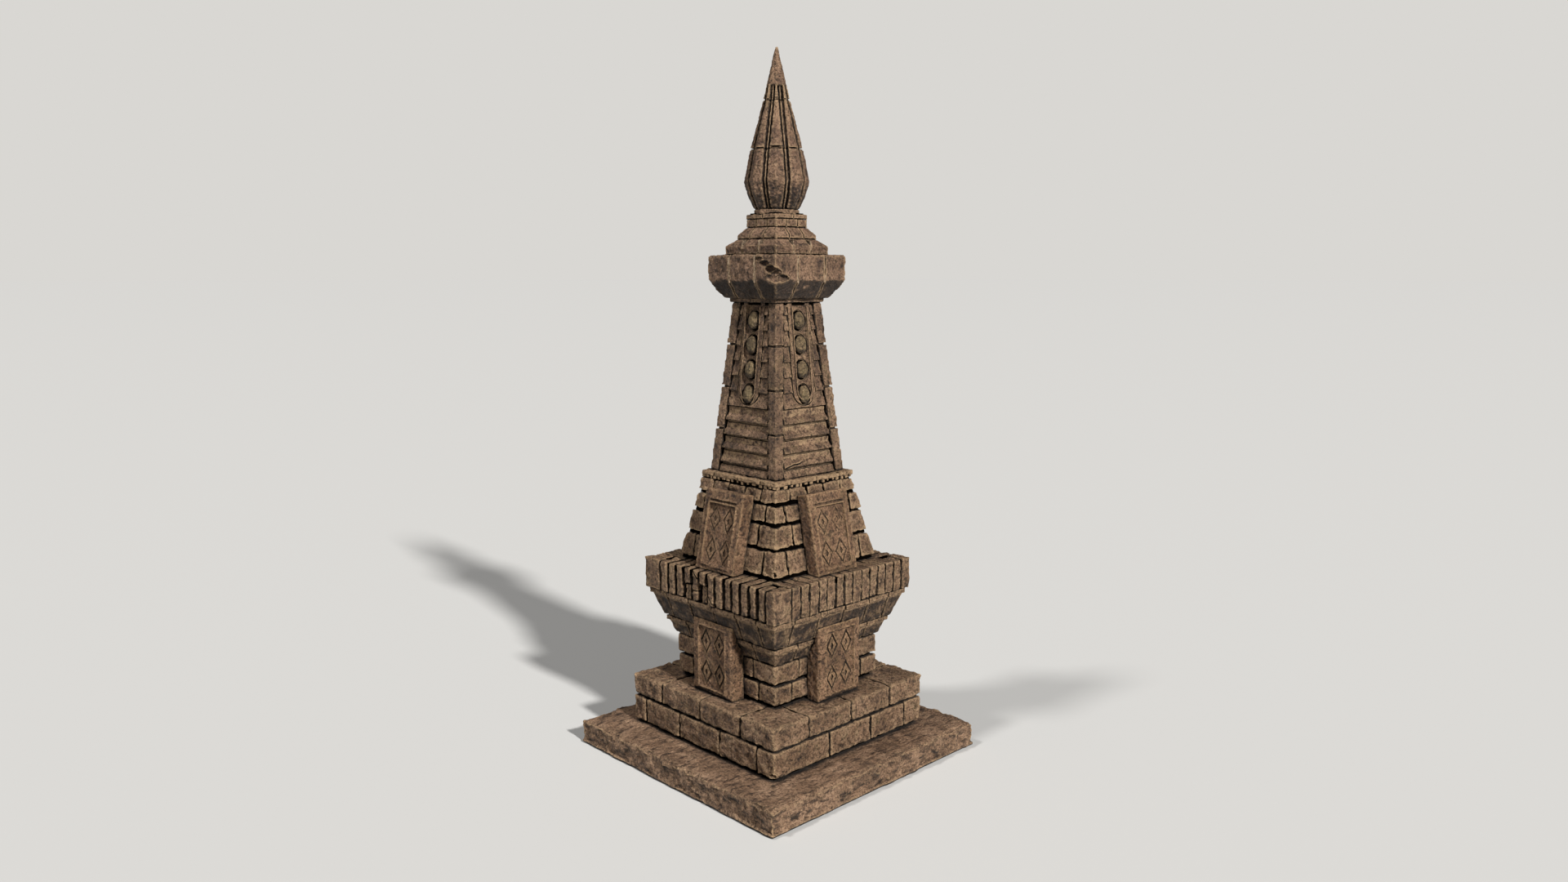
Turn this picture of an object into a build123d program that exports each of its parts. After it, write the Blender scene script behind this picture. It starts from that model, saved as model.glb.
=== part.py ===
from build123d import *
import os
from math import atan2, ceil, cos, degrees, pi, sin

os.makedirs("parts", exist_ok=True)

# A square stone obelisk: ground slab, plinth, pedestal with a flared corbel, a cornice of
# upright stones, a battered base, a tapered shaft with carved panels, a capital, a stepped
# roof and an eight-gored bud finial. Millimetres, +Z up, origin at the middle of the slab's
# underside, front face towards -Y. A "side" is the full width of a square tier.

# Ground slab
slab_side = 2500
slab_height = 220
slab_worn_edge = 40

# Plinth of two block courses
plinth_side = 1805
plinth_lower_height = 240
plinth_upper_height = 200

# Masonry joints: each course stands on a bed that is set back from its face
bed_height = 26
bed_recess = 24
block_worn_edge = 12

# Pedestal of two courses
pedestal_side = 1245
pedestal_course_height = 185

# Corbel of two courses that flare out under the cornice
corbel_lower_height = 165
corbel_upper_height = 250
corbel_lower_flare = 77.5
corbel_upper_flare = 105
corbel_lip_height = 34
corbel_hollow = 14

# Cornice of upright stones, some of them broken on the front
cornice_overhang = 15
cornice_height = 278
cornice_stones_per_side = 16
cornice_joint_width = 30
cornice_joint_depth = 38
cornice_joint_drop = 26
cornice_worn_edge = 24
cornice_break_place = -150
cornice_break_width = 290
cornice_break_height = 130
cornice_break_depth = 52

# Lower tablets, upright against the pedestal
lower_tablet_width = 500
lower_tablet_height = 630
lower_tablet_reach = 138
lower_tablet_side_border = 82
lower_tablet_head_border = 46
lower_tablet_foot_border = 46

# Battered base above the cornice, in four courses from the bottom up
batter_ledge = 211
batter_setback = 148
batter_course_heights = (220, 197, 158, 153)

# Upper tablets, leaning on the battered base
upper_tablet_width = 470
upper_tablet_length = 652
upper_tablet_thickness = 122
upper_tablet_side_border = 66
upper_tablet_head_border = 86
upper_tablet_foot_border = 40

# What both kinds of tablet share
tablet_recess = 14
tablet_bevel = 18
tablet_bead_width = 9
tablet_bead_rise = 5

# String course between the battered base and the shaft
string_overhang = 6
string_height = 43

# Shaft
shaft_ledge = 53.5
shaft_setback = 143
shaft_height = 1436
face_depth = 36
post_width = 92
post_joint_height = 14
post_joint_depth = 14
post_blocks = 4
panel_clearance = 4

# Slats on the lowest part of each shaft face
slat_foot_height = 82
slat_count = 4
slat_pitch = 120.5
slat_lip = 36
slat_face = 10
slat_band_height = 52

# Carved panel above the slats
panel_thickness = 12
frame_outer_width = 260
frame_band = 52
frame_rise = 18
frame_foot = 22
medallion_count = 4
medallion_width = 116
medallion_height = 140
medallion_pitch = 200
medallion_top_margin = 56
medallion_lip = 34
shield_row = 1
rib_pitch = 128.6
rib_rise = 23

# Neck and capital
neck_overhang = 16.5
neck_height = 31
capital_foot_overhang = 36
capital_flare = 92
capital_splay_height = 147
capital_height = 359
gash_height = 130
gash_reach = 92
gash_above_splay = 30
gash_width = 420

# Stepped roof
roof_lower_side = 608
roof_lower_edge = 72
roof_lower_slope = 56
roof_upper_side = 470
roof_upper_edge = 36
roof_upper_slope = 61
roof_neck_side = 358
roof_neck_height = 67
roof_plate_overhang = 4
roof_plate_height = 41

# Finial: an octagonal base and a bud of ridged gores in three drums. Radii are to the
# ridges. Between two gores runs a groove with a thin strip standing in it.
finial_base_radius = 190
finial_base_height = 39
gore_count = 8
groove_width = 48
groove_depth = 34
strip_width = 14
strip_set_back = 12
bud_foot_radius = 188
bud_shoulder_radius = 243
bud_shoulder_height = 116
bud_belly_radius = 275
bud_belly_height = 228
bud_top_radius = 222
bud_height = 482
spire_top_radius = 113
spire_height = 396
drum_joint_height = 11
drum_joint_depth = 8
groove_end_height = 120
groove_end_radius = 86
tip_radius = 11
tip_height = 430

# Widths that follow from the overhangs and ledges between one tier and the next
corbel_middle_side = pedestal_side + 2 * corbel_lower_flare
corbel_top_side = corbel_middle_side + 2 * corbel_upper_flare
cornice_side = corbel_top_side + 2 * cornice_overhang
batter_base_side = cornice_side - 2 * batter_ledge
batter_top_side = batter_base_side - 2 * batter_setback
string_side = batter_top_side + 2 * string_overhang
shaft_base_side = batter_top_side - 2 * shaft_ledge
shaft_top_side = shaft_base_side - 2 * shaft_setback
neck_side = shaft_top_side + 2 * neck_overhang
capital_foot_side = neck_side + 2 * capital_foot_overhang
capital_side = capital_foot_side + 2 * capital_flare
roof_plate_side = roof_neck_side + 2 * roof_plate_overhang

# Levels, each stacked on the one below
plinth_base = slab_height
plinth_split = plinth_base + plinth_lower_height
pedestal_base = plinth_split + plinth_upper_height
pedestal_split = pedestal_base + pedestal_course_height
corbel_base = pedestal_split + pedestal_course_height
corbel_split = corbel_base + corbel_lower_height
cornice_base = corbel_split + corbel_upper_height
batter_base = cornice_base + cornice_height
batter_height = sum(batter_course_heights)
string_base = batter_base + batter_height
shaft_base = string_base + string_height
slats_top = shaft_base + slat_foot_height + slat_count * slat_pitch
shaft_top = shaft_base + shaft_height
capital_base = shaft_top + neck_height
roof_base = capital_base + capital_height
roof_split = roof_base + roof_lower_edge + roof_lower_slope
roof_neck_base = roof_split + roof_upper_edge + roof_upper_slope
roof_plate_base = roof_neck_base + roof_neck_height
finial_base_level = roof_plate_base + roof_plate_height
bud_base = finial_base_level + finial_base_height
spire_base = bud_base + bud_height
tip_base = spire_base + spire_height

SIDES = {"front": 0, "right": 90, "back": 180, "left": 270}
CORNERS = {"front_right": 0, "back_right": 90, "back_left": 180, "front_left": 270}


def write(solid, name):
    """Label a finished piece and write it as a STEP file."""
    solid.label = name
    export_step(solid, f"parts/{name}.step")


def write_turned(pattern, name, turns):
    """Turn a piece about the middle of the obelisk and write one copy for each place."""
    for place, turn in turns.items():
        with BuildPart() as copy:
            add(pattern, rotation=(0, 0, turn))
        write(copy.part, f"{name}_{place}")


def batter_side(level):
    """Full width of the battered base at a level."""
    share = (level - batter_base) / batter_height
    return batter_base_side + (batter_top_side - batter_base_side) * share


def shaft_half(level):
    """Half the width of the shaft, over its corner posts, at a level."""
    share = (level - shaft_base) / shaft_height
    return (shaft_base_side + (shaft_top_side - shaft_base_side) * share) / 2


def core_face(level):
    """How far the core's face stands from the middle at a level."""
    return shaft_half(level) - face_depth


def panel_half(level):
    """Half the width of what lies between two corner posts at a level."""
    return shaft_half(level) - post_width - panel_clearance


def leaning_plane(level, half, slope):
    """Plane on the front face at a level, X along the face and Z out of it."""
    return Plane(
        origin=(0, -half, level),
        x_dir=(1, 0, 0),
        z_dir=(0, -cos(slope), sin(slope)),
    )


def lean(set_in, rise):
    """Angle from the upright, in degrees, of a face whose head is set in from its foot."""
    return degrees(atan2(set_in, rise))


def build_course(base, height, foot_side, head_side):
    """A course of stone on a set-back bed, with its corners and top edge worn."""
    with BuildPart() as course:
        with BuildSketch(Plane.XY.offset(base)):
            Rectangle(foot_side - 2 * bed_recess, foot_side - 2 * bed_recess)
        extrude(amount=bed_height)
        with BuildSketch(Plane.XY.offset(base + bed_height)):
            Rectangle(foot_side, foot_side)
        rise = height - bed_height
        extrude(amount=rise, taper=lean((foot_side - head_side) / 2, rise))
        chamfer(course.edges().group_by(Axis.Z)[-1], block_worn_edge)
    return course.part


# Ground slab
with BuildPart() as ground_slab:
    with BuildSketch():
        Rectangle(slab_side, slab_side)
    extrude(amount=slab_height)
    fillet(ground_slab.edges().group_by(Axis.Z)[-1], slab_worn_edge)
write(ground_slab.part, "ground_slab")

# Plinth
plinth_lower = build_course(plinth_base, plinth_lower_height, plinth_side, plinth_side)
write(plinth_lower, "plinth_lower_course")
plinth_upper = build_course(plinth_split, plinth_upper_height, plinth_side, plinth_side)
write(plinth_upper, "plinth_upper_course")

# Pedestal
pedestal_lower = build_course(
    pedestal_base, pedestal_course_height, pedestal_side, pedestal_side
)
write(pedestal_lower, "pedestal_lower_course")
pedestal_upper = build_course(
    pedestal_split, pedestal_course_height, pedestal_side, pedestal_side
)
write(pedestal_upper, "pedestal_upper_course")


def build_corbel(base, height, foot_side, head_side):
    """A hollow-faced course that widens upwards and ends in an upright lip."""
    foot = foot_side / 2
    head = head_side / 2
    lip = base + height - corbel_lip_height
    hollow = ((foot + head) / 2 - corbel_hollow, (base + bed_height + lip) / 2)
    with BuildPart() as corbel:
        for plane, mode in ((Plane.XZ, Mode.ADD), (Plane.YZ, Mode.INTERSECT)):
            with BuildSketch(plane) as profile:
                with BuildLine():
                    bed = Polyline(
                        (0, base),
                        (foot - bed_recess, base),
                        (foot - bed_recess, base + bed_height),
                        (foot, base + bed_height),
                    )
                    face = ThreePointArc(bed @ 1, hollow, (head, lip))
                    Polyline(face @ 1, (head, base + height), (0, base + height), (0, base))
                make_face()
                mirror(about=Plane.YZ)
            extrude(profile.sketch, amount=head, both=True, mode=mode)
    return corbel.part


corbel_lower = build_corbel(corbel_base, corbel_lower_height, pedestal_side, corbel_middle_side)
write(corbel_lower, "corbel_lower_course")
corbel_upper = build_corbel(
    corbel_split, corbel_upper_height, corbel_middle_side, corbel_top_side
)
write(corbel_upper, "corbel_upper_course")

# Cornice: upright stones side by side, whose joints run down the face and over the top
stone_pitch = cornice_side / cornice_stones_per_side
joint_places = [
    (joint - cornice_stones_per_side / 2) * stone_pitch
    for joint in range(1, cornice_stones_per_side)
]
with BuildPart() as cornice:
    with BuildSketch(Plane.XY.offset(cornice_base)):
        Rectangle(cornice_side, cornice_side)
    extrude(amount=cornice_height)
    chamfer(cornice.edges().group_by(Axis.Z)[-1], cornice_worn_edge)
    with BuildSketch(Plane.XY.offset(cornice_base)):
        with PolarLocations(cornice_side / 2, 4):
            for place in joint_places:
                with Locations((0, place)):
                    Rectangle(2 * cornice_joint_depth, cornice_joint_width)
    extrude(amount=cornice_height, mode=Mode.SUBTRACT)
    with BuildSketch(Plane.XY.offset(cornice_base + cornice_height)):
        with PolarLocations(cornice_side / 2, 4):
            for place in joint_places:
                run = cornice_side / 2 - max(batter_base_side / 2, abs(place))
                with Locations((0, place)):
                    Rectangle(2 * run, cornice_joint_width)
    extrude(amount=-cornice_joint_drop, mode=Mode.SUBTRACT)
    with BuildSketch(Plane.XY.offset(cornice_base)):
        with Locations((cornice_break_place, -cornice_side / 2)):
            Rectangle(cornice_break_width, 2 * cornice_break_depth)
    extrude(amount=cornice_break_height, mode=Mode.SUBTRACT)
write(cornice.part, "cornice")

# Battered base
course_base = batter_base
for number, course_height in enumerate(batter_course_heights, start=1):
    batter_course = build_course(
        course_base,
        course_height,
        batter_side(course_base + bed_height),
        batter_side(course_base + course_height),
    )
    write(batter_course, f"batter_course_{number}")
    course_base += course_height

# String course
with BuildPart() as string_course:
    with BuildSketch(Plane.XY.offset(string_base)):
        Rectangle(string_side, string_side)
    extrude(amount=string_height)
    chamfer(string_course.edges().group_by(Axis.Z)[-1], block_worn_edge)
write(string_course.part, "string_course")


def cut_tablet_field(plane, width, foot, head):
    """Sink a field into the face of the tablet being built and raise a bead round it."""
    length = head - foot
    with BuildSketch(plane) as field:
        with Locations((0, (foot + head) / 2)):
            Rectangle(width, length)
    with BuildSketch(plane) as bead:
        with Locations((0, (foot + head) / 2)):
            Rectangle(width + 2 * tablet_bead_width, length + 2 * tablet_bead_width)
            Rectangle(width, length, mode=Mode.SUBTRACT)
    extrude(field.sketch, amount=-tablet_recess, mode=Mode.SUBTRACT)
    extrude(bead.sketch, amount=tablet_bead_rise)


# Lower tablets: upright slabs whose backs follow the pedestal and the corbel
tablet_front = pedestal_side / 2 + lower_tablet_reach
tablet_top = pedestal_base + lower_tablet_height
flare_foot = corbel_split + bed_height
flare_share = (tablet_top - flare_foot) / (corbel_upper_height - bed_height - corbel_lip_height)
back_at_top = (corbel_middle_side + (corbel_top_side - corbel_middle_side) * flare_share) / 2
with BuildPart() as lower_tablet:
    with BuildSketch(Plane.YZ):
        with BuildLine():
            Polyline(
                (-pedestal_side / 2, pedestal_base),
                (-tablet_front, pedestal_base),
                (-tablet_front, tablet_top),
                (-back_at_top, tablet_top),
                (-corbel_middle_side / 2, flare_foot),
                (-corbel_middle_side / 2, corbel_split - corbel_lip_height),
                (-pedestal_side / 2, corbel_base + bed_height),
                close=True,
            )
        make_face()
    extrude(amount=lower_tablet_width / 2, both=True)
    front_face = lower_tablet.faces().sort_by(Axis.Y)[0]
    chamfer(front_face.edges().filter_by(GeomType.LINE), tablet_bevel)
    cut_tablet_field(
        Plane.XZ.offset(tablet_front),
        lower_tablet_width - 2 * lower_tablet_side_border,
        pedestal_base + lower_tablet_foot_border,
        tablet_top - lower_tablet_head_border,
    )
write_turned(lower_tablet.part, "lower_tablet", SIDES)

# Upper tablets: slabs that lean on the battered base and stand on the cornice
batter_slope = atan2((batter_base_side - batter_top_side) / 2, batter_height)
tablet_plane = leaning_plane(batter_base, batter_base_side / 2, batter_slope)
foot_run_out = upper_tablet_thickness
with BuildPart() as upper_tablet:
    with BuildSketch(tablet_plane):
        with Locations((0, (upper_tablet_length - foot_run_out) / 2)):
            Rectangle(upper_tablet_width, upper_tablet_length + foot_run_out)
    extrude(amount=upper_tablet_thickness)
    outer_face = upper_tablet.faces().sort_by(Axis.Y)[0]
    chamfer(outer_face.edges(), tablet_bevel)
    cut_tablet_field(
        tablet_plane.offset(upper_tablet_thickness),
        upper_tablet_width - 2 * upper_tablet_side_border,
        upper_tablet_foot_border,
        upper_tablet_length - upper_tablet_head_border,
    )
    split(bisect_by=Plane.XY.offset(batter_base), keep=Keep.TOP)
write_turned(upper_tablet.part, "upper_tablet", SIDES)

# Shaft core, set back behind the posts and panels
with BuildPart() as shaft_core:
    with BuildSketch(Plane.XY.offset(shaft_base)):
        Rectangle(2 * core_face(shaft_base), 2 * core_face(shaft_base))
    extrude(amount=shaft_height, taper=lean(shaft_setback, shaft_height))
write(shaft_core.part, "shaft_core")

# Corner posts: angle-shaped, tapering with the shaft, with a joint between their blocks
block_height = shaft_height / post_blocks
with BuildPart() as corner_post:
    for level in (shaft_base, shaft_top):
        outer = shaft_half(level)
        inner = outer - face_depth
        edge = outer - post_width
        with BuildSketch(Plane.XY.offset(level)):
            with BuildLine():
                Polyline(
                    (edge, -outer),
                    (outer, -outer),
                    (outer, -edge),
                    (inner, -edge),
                    (inner, -inner),
                    (edge, -inner),
                    close=True,
                )
            make_face()
    loft(ruled=True)
    for joint in range(1, post_blocks):
        joint_level = shaft_base + joint * block_height
        half = shaft_half(joint_level)
        with BuildSketch(Plane.XY.offset(joint_level)):
            Rectangle(2 * half + post_width, 2 * half + post_width)
            Rectangle(
                2 * (half - post_joint_depth), 2 * (half - post_joint_depth), mode=Mode.SUBTRACT
            )
        extrude(amount=post_joint_height, mode=Mode.SUBTRACT)
write_turned(corner_post.part, "corner_post", CORNERS)

# Slat panels: overlapping slats, each a flat face over a proud rounded band that hangs
# over the slat below
slat_levels = [shaft_base + slat_foot_height + row * slat_pitch for row in range(slat_count)]
with BuildPart() as slat_panel:
    with BuildSketch(Plane.YZ):
        with BuildLine():
            foot = Polyline(
                (-core_face(slats_top), slats_top),
                (-core_face(shaft_base), shaft_base),
                (-core_face(shaft_base) - slat_lip, shaft_base),
                (-core_face(slat_levels[0]) - slat_face, slat_levels[0]),
            )
            slat_end = foot @ 1
            for level in slat_levels:
                band_head = level + slat_band_height
                undercut = Line(slat_end, (-core_face(level) - slat_lip, level))
                band = TangentArc(
                    undercut @ 1, (-core_face(band_head) - slat_face, band_head), tangent=(0, 1)
                )
                slat_head = level + slat_pitch
                face = Line(band @ 1, (-core_face(slat_head) - slat_face, slat_head))
                slat_end = face @ 1
            Line(slat_end, foot @ 0)
        make_face()
    extrude(amount=panel_half(shaft_base), both=True)
    with BuildSketch(Plane.XZ):
        with BuildLine():
            Polyline(
                (-panel_half(shaft_base), shaft_base),
                (panel_half(shaft_base), shaft_base),
                (panel_half(slats_top), slats_top),
                (-panel_half(slats_top), slats_top),
                close=True,
            )
        make_face()
    extrude(amount=shaft_base_side, mode=Mode.INTERSECT)
write_turned(slat_panel.part, "slat_panel", SIDES)

# Carved panels: side boards that overlap downwards, and between them a raised frame with
# a rounded foot round a row of medallions that hang like scales
shaft_slope = atan2((shaft_base_side - shaft_top_side) / 2, shaft_height)
carving_plane = leaning_plane(slats_top, core_face(slats_top), shaft_slope)
board_plane = Plane(
    origin=carving_plane.origin, x_dir=carving_plane.z_dir, z_dir=-carving_plane.x_dir
)
carving_length = (shaft_top - slats_top) / cos(shaft_slope)


def draw_strip(width, mode=Mode.ADD):
    """A strip up the middle of a carved panel, with a rounded foot."""
    with Locations((0, frame_foot + frame_outer_width / 2)):
        Circle(width / 2, mode=mode)
        Rectangle(width, carving_length, align=(Align.CENTER, Align.MIN), mode=mode)


def build_medallion(outline):
    """A medallion whose head lies in the panel and whose foot stands proud of it."""
    scale_face = Plane(
        origin=(0, medallion_height / 2, 0),
        x_dir=(1, 0, 0),
        z_dir=(0, medallion_lip, medallion_height),
    )
    with BuildPart() as medallion:
        extrude(outline, amount=medallion_lip)
        split(bisect_by=scale_face, keep=Keep.BOTTOM)
    return medallion.part


def build_carved_panel(medallions):
    """A carved panel with the given medallions, from the top down."""
    with BuildPart() as carved_panel:
        with BuildSketch(board_plane):
            with BuildLine():
                board_end = (panel_thickness, 0)
                for row in range(ceil(carving_length / rib_pitch)):
                    board_foot = row * rib_pitch
                    board = Polyline(
                        board_end,
                        (panel_thickness + rib_rise, board_foot),
                        (panel_thickness, board_foot + rib_pitch),
                    )
                    board_end = board @ 1
                Polyline(board_end, (0, board_end.Y), (0, 0), (panel_thickness, 0))
            make_face()
        extrude(amount=panel_half(slats_top), both=True)
        with BuildSketch(carving_plane.offset(panel_thickness)):
            draw_strip(frame_outer_width)
        extrude(amount=rib_rise, mode=Mode.SUBTRACT)
        with BuildSketch(carving_plane.offset(panel_thickness)):
            draw_strip(frame_outer_width)
            draw_strip(frame_outer_width - 2 * frame_band, mode=Mode.SUBTRACT)
        extrude(amount=frame_rise)
        with BuildSketch(Plane.XZ):
            with BuildLine():
                Polyline(
                    (-panel_half(slats_top), slats_top),
                    (panel_half(slats_top), slats_top),
                    (panel_half(shaft_top), shaft_top),
                    (-panel_half(shaft_top), shaft_top),
                    close=True,
                )
            make_face()
        extrude(amount=shaft_base_side, mode=Mode.INTERSECT)
        top_medallion = carving_length - medallion_top_margin - medallion_height / 2
        for row, medallion in enumerate(medallions):
            with Locations(carving_plane.offset(panel_thickness)):
                with Locations((0, top_medallion - row * medallion_pitch)):
                    add(medallion)
    return carved_panel.part


with BuildSketch() as oval_outline:
    Ellipse(medallion_width / 2, medallion_height / 2)
with BuildSketch() as shield_outline:
    with BuildLine():
        head = TangentArc(
            (0, medallion_height / 2), (medallion_width / 2, medallion_height / 8), tangent=(1, 0)
        )
        TangentArc(head @ 1, (0, -medallion_height / 2), tangent=(0, -1))
        mirror(about=Plane.YZ)
    make_face()
oval = build_medallion(oval_outline.sketch)
shield = build_medallion(shield_outline.sketch)
oval_panel = build_carved_panel([oval] * medallion_count)
shield_panel = build_carved_panel(
    [shield if row == shield_row else oval for row in range(medallion_count)]
)
write_turned(oval_panel, "carved_panel", {"front": SIDES["front"], "back": SIDES["back"]})
write_turned(shield_panel, "carved_panel", {"right": SIDES["right"], "left": SIDES["left"]})

# Neck moulding
with BuildPart() as neck:
    with BuildSketch(Plane.XY.offset(shaft_top)):
        Rectangle(neck_side, neck_side)
    extrude(amount=neck_height)
write(neck.part, "shaft_neck")

# Capital: splayed below, upright above, with a piece broken out of its front right corner
corner_plane = Plane(origin=(0, 0, 0), x_dir=(1, -1, 0), z_dir=(-1, -1, 0))
capital_corner = capital_side / 2 * 2**0.5
gash_middle = capital_base + capital_splay_height + gash_above_splay
with BuildPart() as capital:
    with BuildSketch(Plane.XY.offset(capital_base)):
        Rectangle(capital_foot_side, capital_foot_side)
    extrude(amount=capital_splay_height, taper=lean(-capital_flare, capital_splay_height))
    with BuildSketch(Plane.XY.offset(capital_base + capital_splay_height)):
        Rectangle(capital_side, capital_side)
    extrude(amount=capital_height - capital_splay_height)
    chamfer(capital.edges().group_by(Axis.Z)[-1], block_worn_edge)
    with BuildSketch(corner_plane):
        with BuildLine():
            Polyline(
                (capital_corner, gash_middle + gash_height / 2),
                (capital_corner, gash_middle - gash_height / 2),
                (capital_corner - gash_reach, gash_middle),
                close=True,
            )
        make_face()
    extrude(amount=gash_width / 2, both=True, mode=Mode.SUBTRACT)
write(capital.part, "capital")


def build_roof_step(base, edge_height, slope_height, foot_side, head_side):
    """A roof step with an upright edge and a sloping top."""
    with BuildPart() as step:
        with BuildSketch(Plane.XY.offset(base)):
            Rectangle(foot_side, foot_side)
        extrude(amount=edge_height)
        with BuildSketch(Plane.XY.offset(base + edge_height)):
            Rectangle(foot_side, foot_side)
        extrude(amount=slope_height, taper=lean((foot_side - head_side) / 2, slope_height))
    return step.part


# Stepped roof
roof_lower = build_roof_step(
    roof_base, roof_lower_edge, roof_lower_slope, roof_lower_side, roof_upper_side
)
write(roof_lower, "roof_lower_step")
roof_upper = build_roof_step(
    roof_split, roof_upper_edge, roof_upper_slope, roof_upper_side, roof_neck_side
)
write(roof_upper, "roof_upper_step")
with BuildPart() as roof_neck:
    with BuildSketch(Plane.XY.offset(roof_neck_base)):
        Rectangle(roof_neck_side, roof_neck_side)
    extrude(amount=roof_neck_height)
write(roof_neck.part, "roof_neck")
with BuildPart() as roof_plate:
    with BuildSketch(Plane.XY.offset(roof_plate_base)):
        Rectangle(roof_plate_side, roof_plate_side)
    extrude(amount=roof_plate_height)
write(roof_plate.part, "roof_plate")

# Octagonal base of the finial
with BuildPart() as finial_base:
    with BuildSketch(Plane.XY.offset(finial_base_level)):
        RegularPolygon(finial_base_radius, gore_count)
    extrude(amount=finial_base_height)
write(finial_base.part, "finial_base")


def build_groove(stations):
    """What is cut from one flat side of the bud: a groove, less the thin strip left in it."""
    flats = [(radius * cos(pi / gore_count), level) for level, radius in stations]
    with BuildPart() as groove:
        for width, depth, mode in (
            (groove_width, groove_depth, Mode.ADD),
            (strip_width, groove_depth, Mode.SUBTRACT),
            (strip_width, strip_set_back, Mode.ADD),
        ):
            floor = [(reach - depth, level) for reach, level in flats]
            open_side = [(2 * bud_belly_radius, level) for reach, level in (flats[-1], flats[0])]
            with BuildSketch(Plane.XZ):
                with BuildLine():
                    Polyline(*floor, *open_side, close=True)
                make_face()
            extrude(amount=width / 2, both=True, mode=mode)
    return groove.part


def build_drum(stations, grooved_stations):
    """A drum of the finial on a set-back joint: stacked tapers with a groove on each flat."""
    apothem_share = cos(pi / gore_count)
    foot_level, foot_radius = stations[0]
    groove = build_groove(grooved_stations)
    with BuildPart() as drum:
        for (level, radius), (head_level, head_radius) in zip(stations, stations[1:]):
            rise = head_level - level
            with BuildSketch(Plane.XY.offset(level)):
                RegularPolygon(radius, gore_count)
            extrude(amount=rise, taper=lean((radius - head_radius) * apothem_share, rise))
        with BuildSketch(Plane.XY.offset(foot_level)):
            Circle(2 * foot_radius)
            RegularPolygon(foot_radius - drum_joint_depth, gore_count, mode=Mode.SUBTRACT)
        extrude(amount=drum_joint_height, mode=Mode.SUBTRACT)
        with PolarLocations(0, gore_count, start_angle=180 / gore_count):
            add(groove, mode=Mode.SUBTRACT)
    return drum.part


# Bud, spire and tip, whose grooves end part of the way up, below a plain ridged point
bud_stations = (
    (bud_base, bud_foot_radius),
    (bud_base + bud_shoulder_height, bud_shoulder_radius),
    (bud_base + bud_belly_height, bud_belly_radius),
    (spire_base, bud_top_radius),
)
spire_stations = ((spire_base, bud_top_radius), (tip_base, spire_top_radius))
tip_stations = (
    (tip_base, spire_top_radius),
    (tip_base + groove_end_height, groove_end_radius),
    (tip_base + tip_height, tip_radius),
)
write(build_drum(bud_stations, bud_stations), "finial_bud")
write(build_drum(spire_stations, spire_stations), "finial_spire")
write(build_drum(tip_stations, tip_stations[:2]), "finial_tip")
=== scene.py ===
"""Looks of the stone obelisk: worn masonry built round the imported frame, in metres."""

import logging
import math
import random
from collections.abc import Callable, Sequence
from dataclasses import dataclass
from enum import Enum

import bmesh
import bpy
from mathutils import Matrix, Vector


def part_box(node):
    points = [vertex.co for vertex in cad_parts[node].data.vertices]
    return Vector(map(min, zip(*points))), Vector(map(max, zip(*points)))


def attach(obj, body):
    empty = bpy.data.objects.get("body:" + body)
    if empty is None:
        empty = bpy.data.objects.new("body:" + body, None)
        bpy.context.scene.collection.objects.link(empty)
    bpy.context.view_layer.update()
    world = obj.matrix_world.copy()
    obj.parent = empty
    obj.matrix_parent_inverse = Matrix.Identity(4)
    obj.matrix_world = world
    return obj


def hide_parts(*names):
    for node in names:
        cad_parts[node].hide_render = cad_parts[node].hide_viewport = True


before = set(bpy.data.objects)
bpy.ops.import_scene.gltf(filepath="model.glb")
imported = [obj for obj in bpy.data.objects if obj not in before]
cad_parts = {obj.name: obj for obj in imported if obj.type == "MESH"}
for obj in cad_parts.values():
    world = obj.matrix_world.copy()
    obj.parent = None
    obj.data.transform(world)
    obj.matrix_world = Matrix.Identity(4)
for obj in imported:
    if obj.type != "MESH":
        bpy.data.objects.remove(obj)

LOG = logging.getLogger("obelisk")
MM = 0.001
BODY = "root"
SIDES = ("front", "right", "back", "left")
Piece = bpy.types.Object
Tree = bpy.types.NodeTree
Node = bpy.types.Node
Rect = tuple[float, float, float, float]
Joint = tuple[Rect, float, float]
Hollow = tuple[Sequence[float], Sequence[float]]
Layers = Sequence[tuple[float, float]]


class Slot(Enum):
    """Material slots of the record."""

    GROUND = "ground_stone"
    BLOCK = "block_stone"
    TABLET = "tablet_stone"
    CORNICE = "cornice_stone"
    SHAFT = "shaft_stone"
    CAPITAL = "capital_stone"
    FINIAL = "finial_stone"


def linear(hex_colour: str) -> tuple[float, float, float, float]:
    """Turn an sRGB hex colour into linear RGBA.

    Args:
        hex_colour: Six hex digits with a leading mark.

    Returns:
        The colour as Blender's sockets take it.
    """
    parts = [int(hex_colour[i : i + 2], 16) / 255 for i in (1, 3, 5)]
    return (*[p / 12.92 if p <= 0.04045 else ((p + 0.055) / 1.055) ** 2.4 for p in parts], 1.0)


def scale_for(size_mm: float) -> float:
    """Scale of a texture whose bumps have this size."""
    return 1 / (size_mm * MM)


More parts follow.
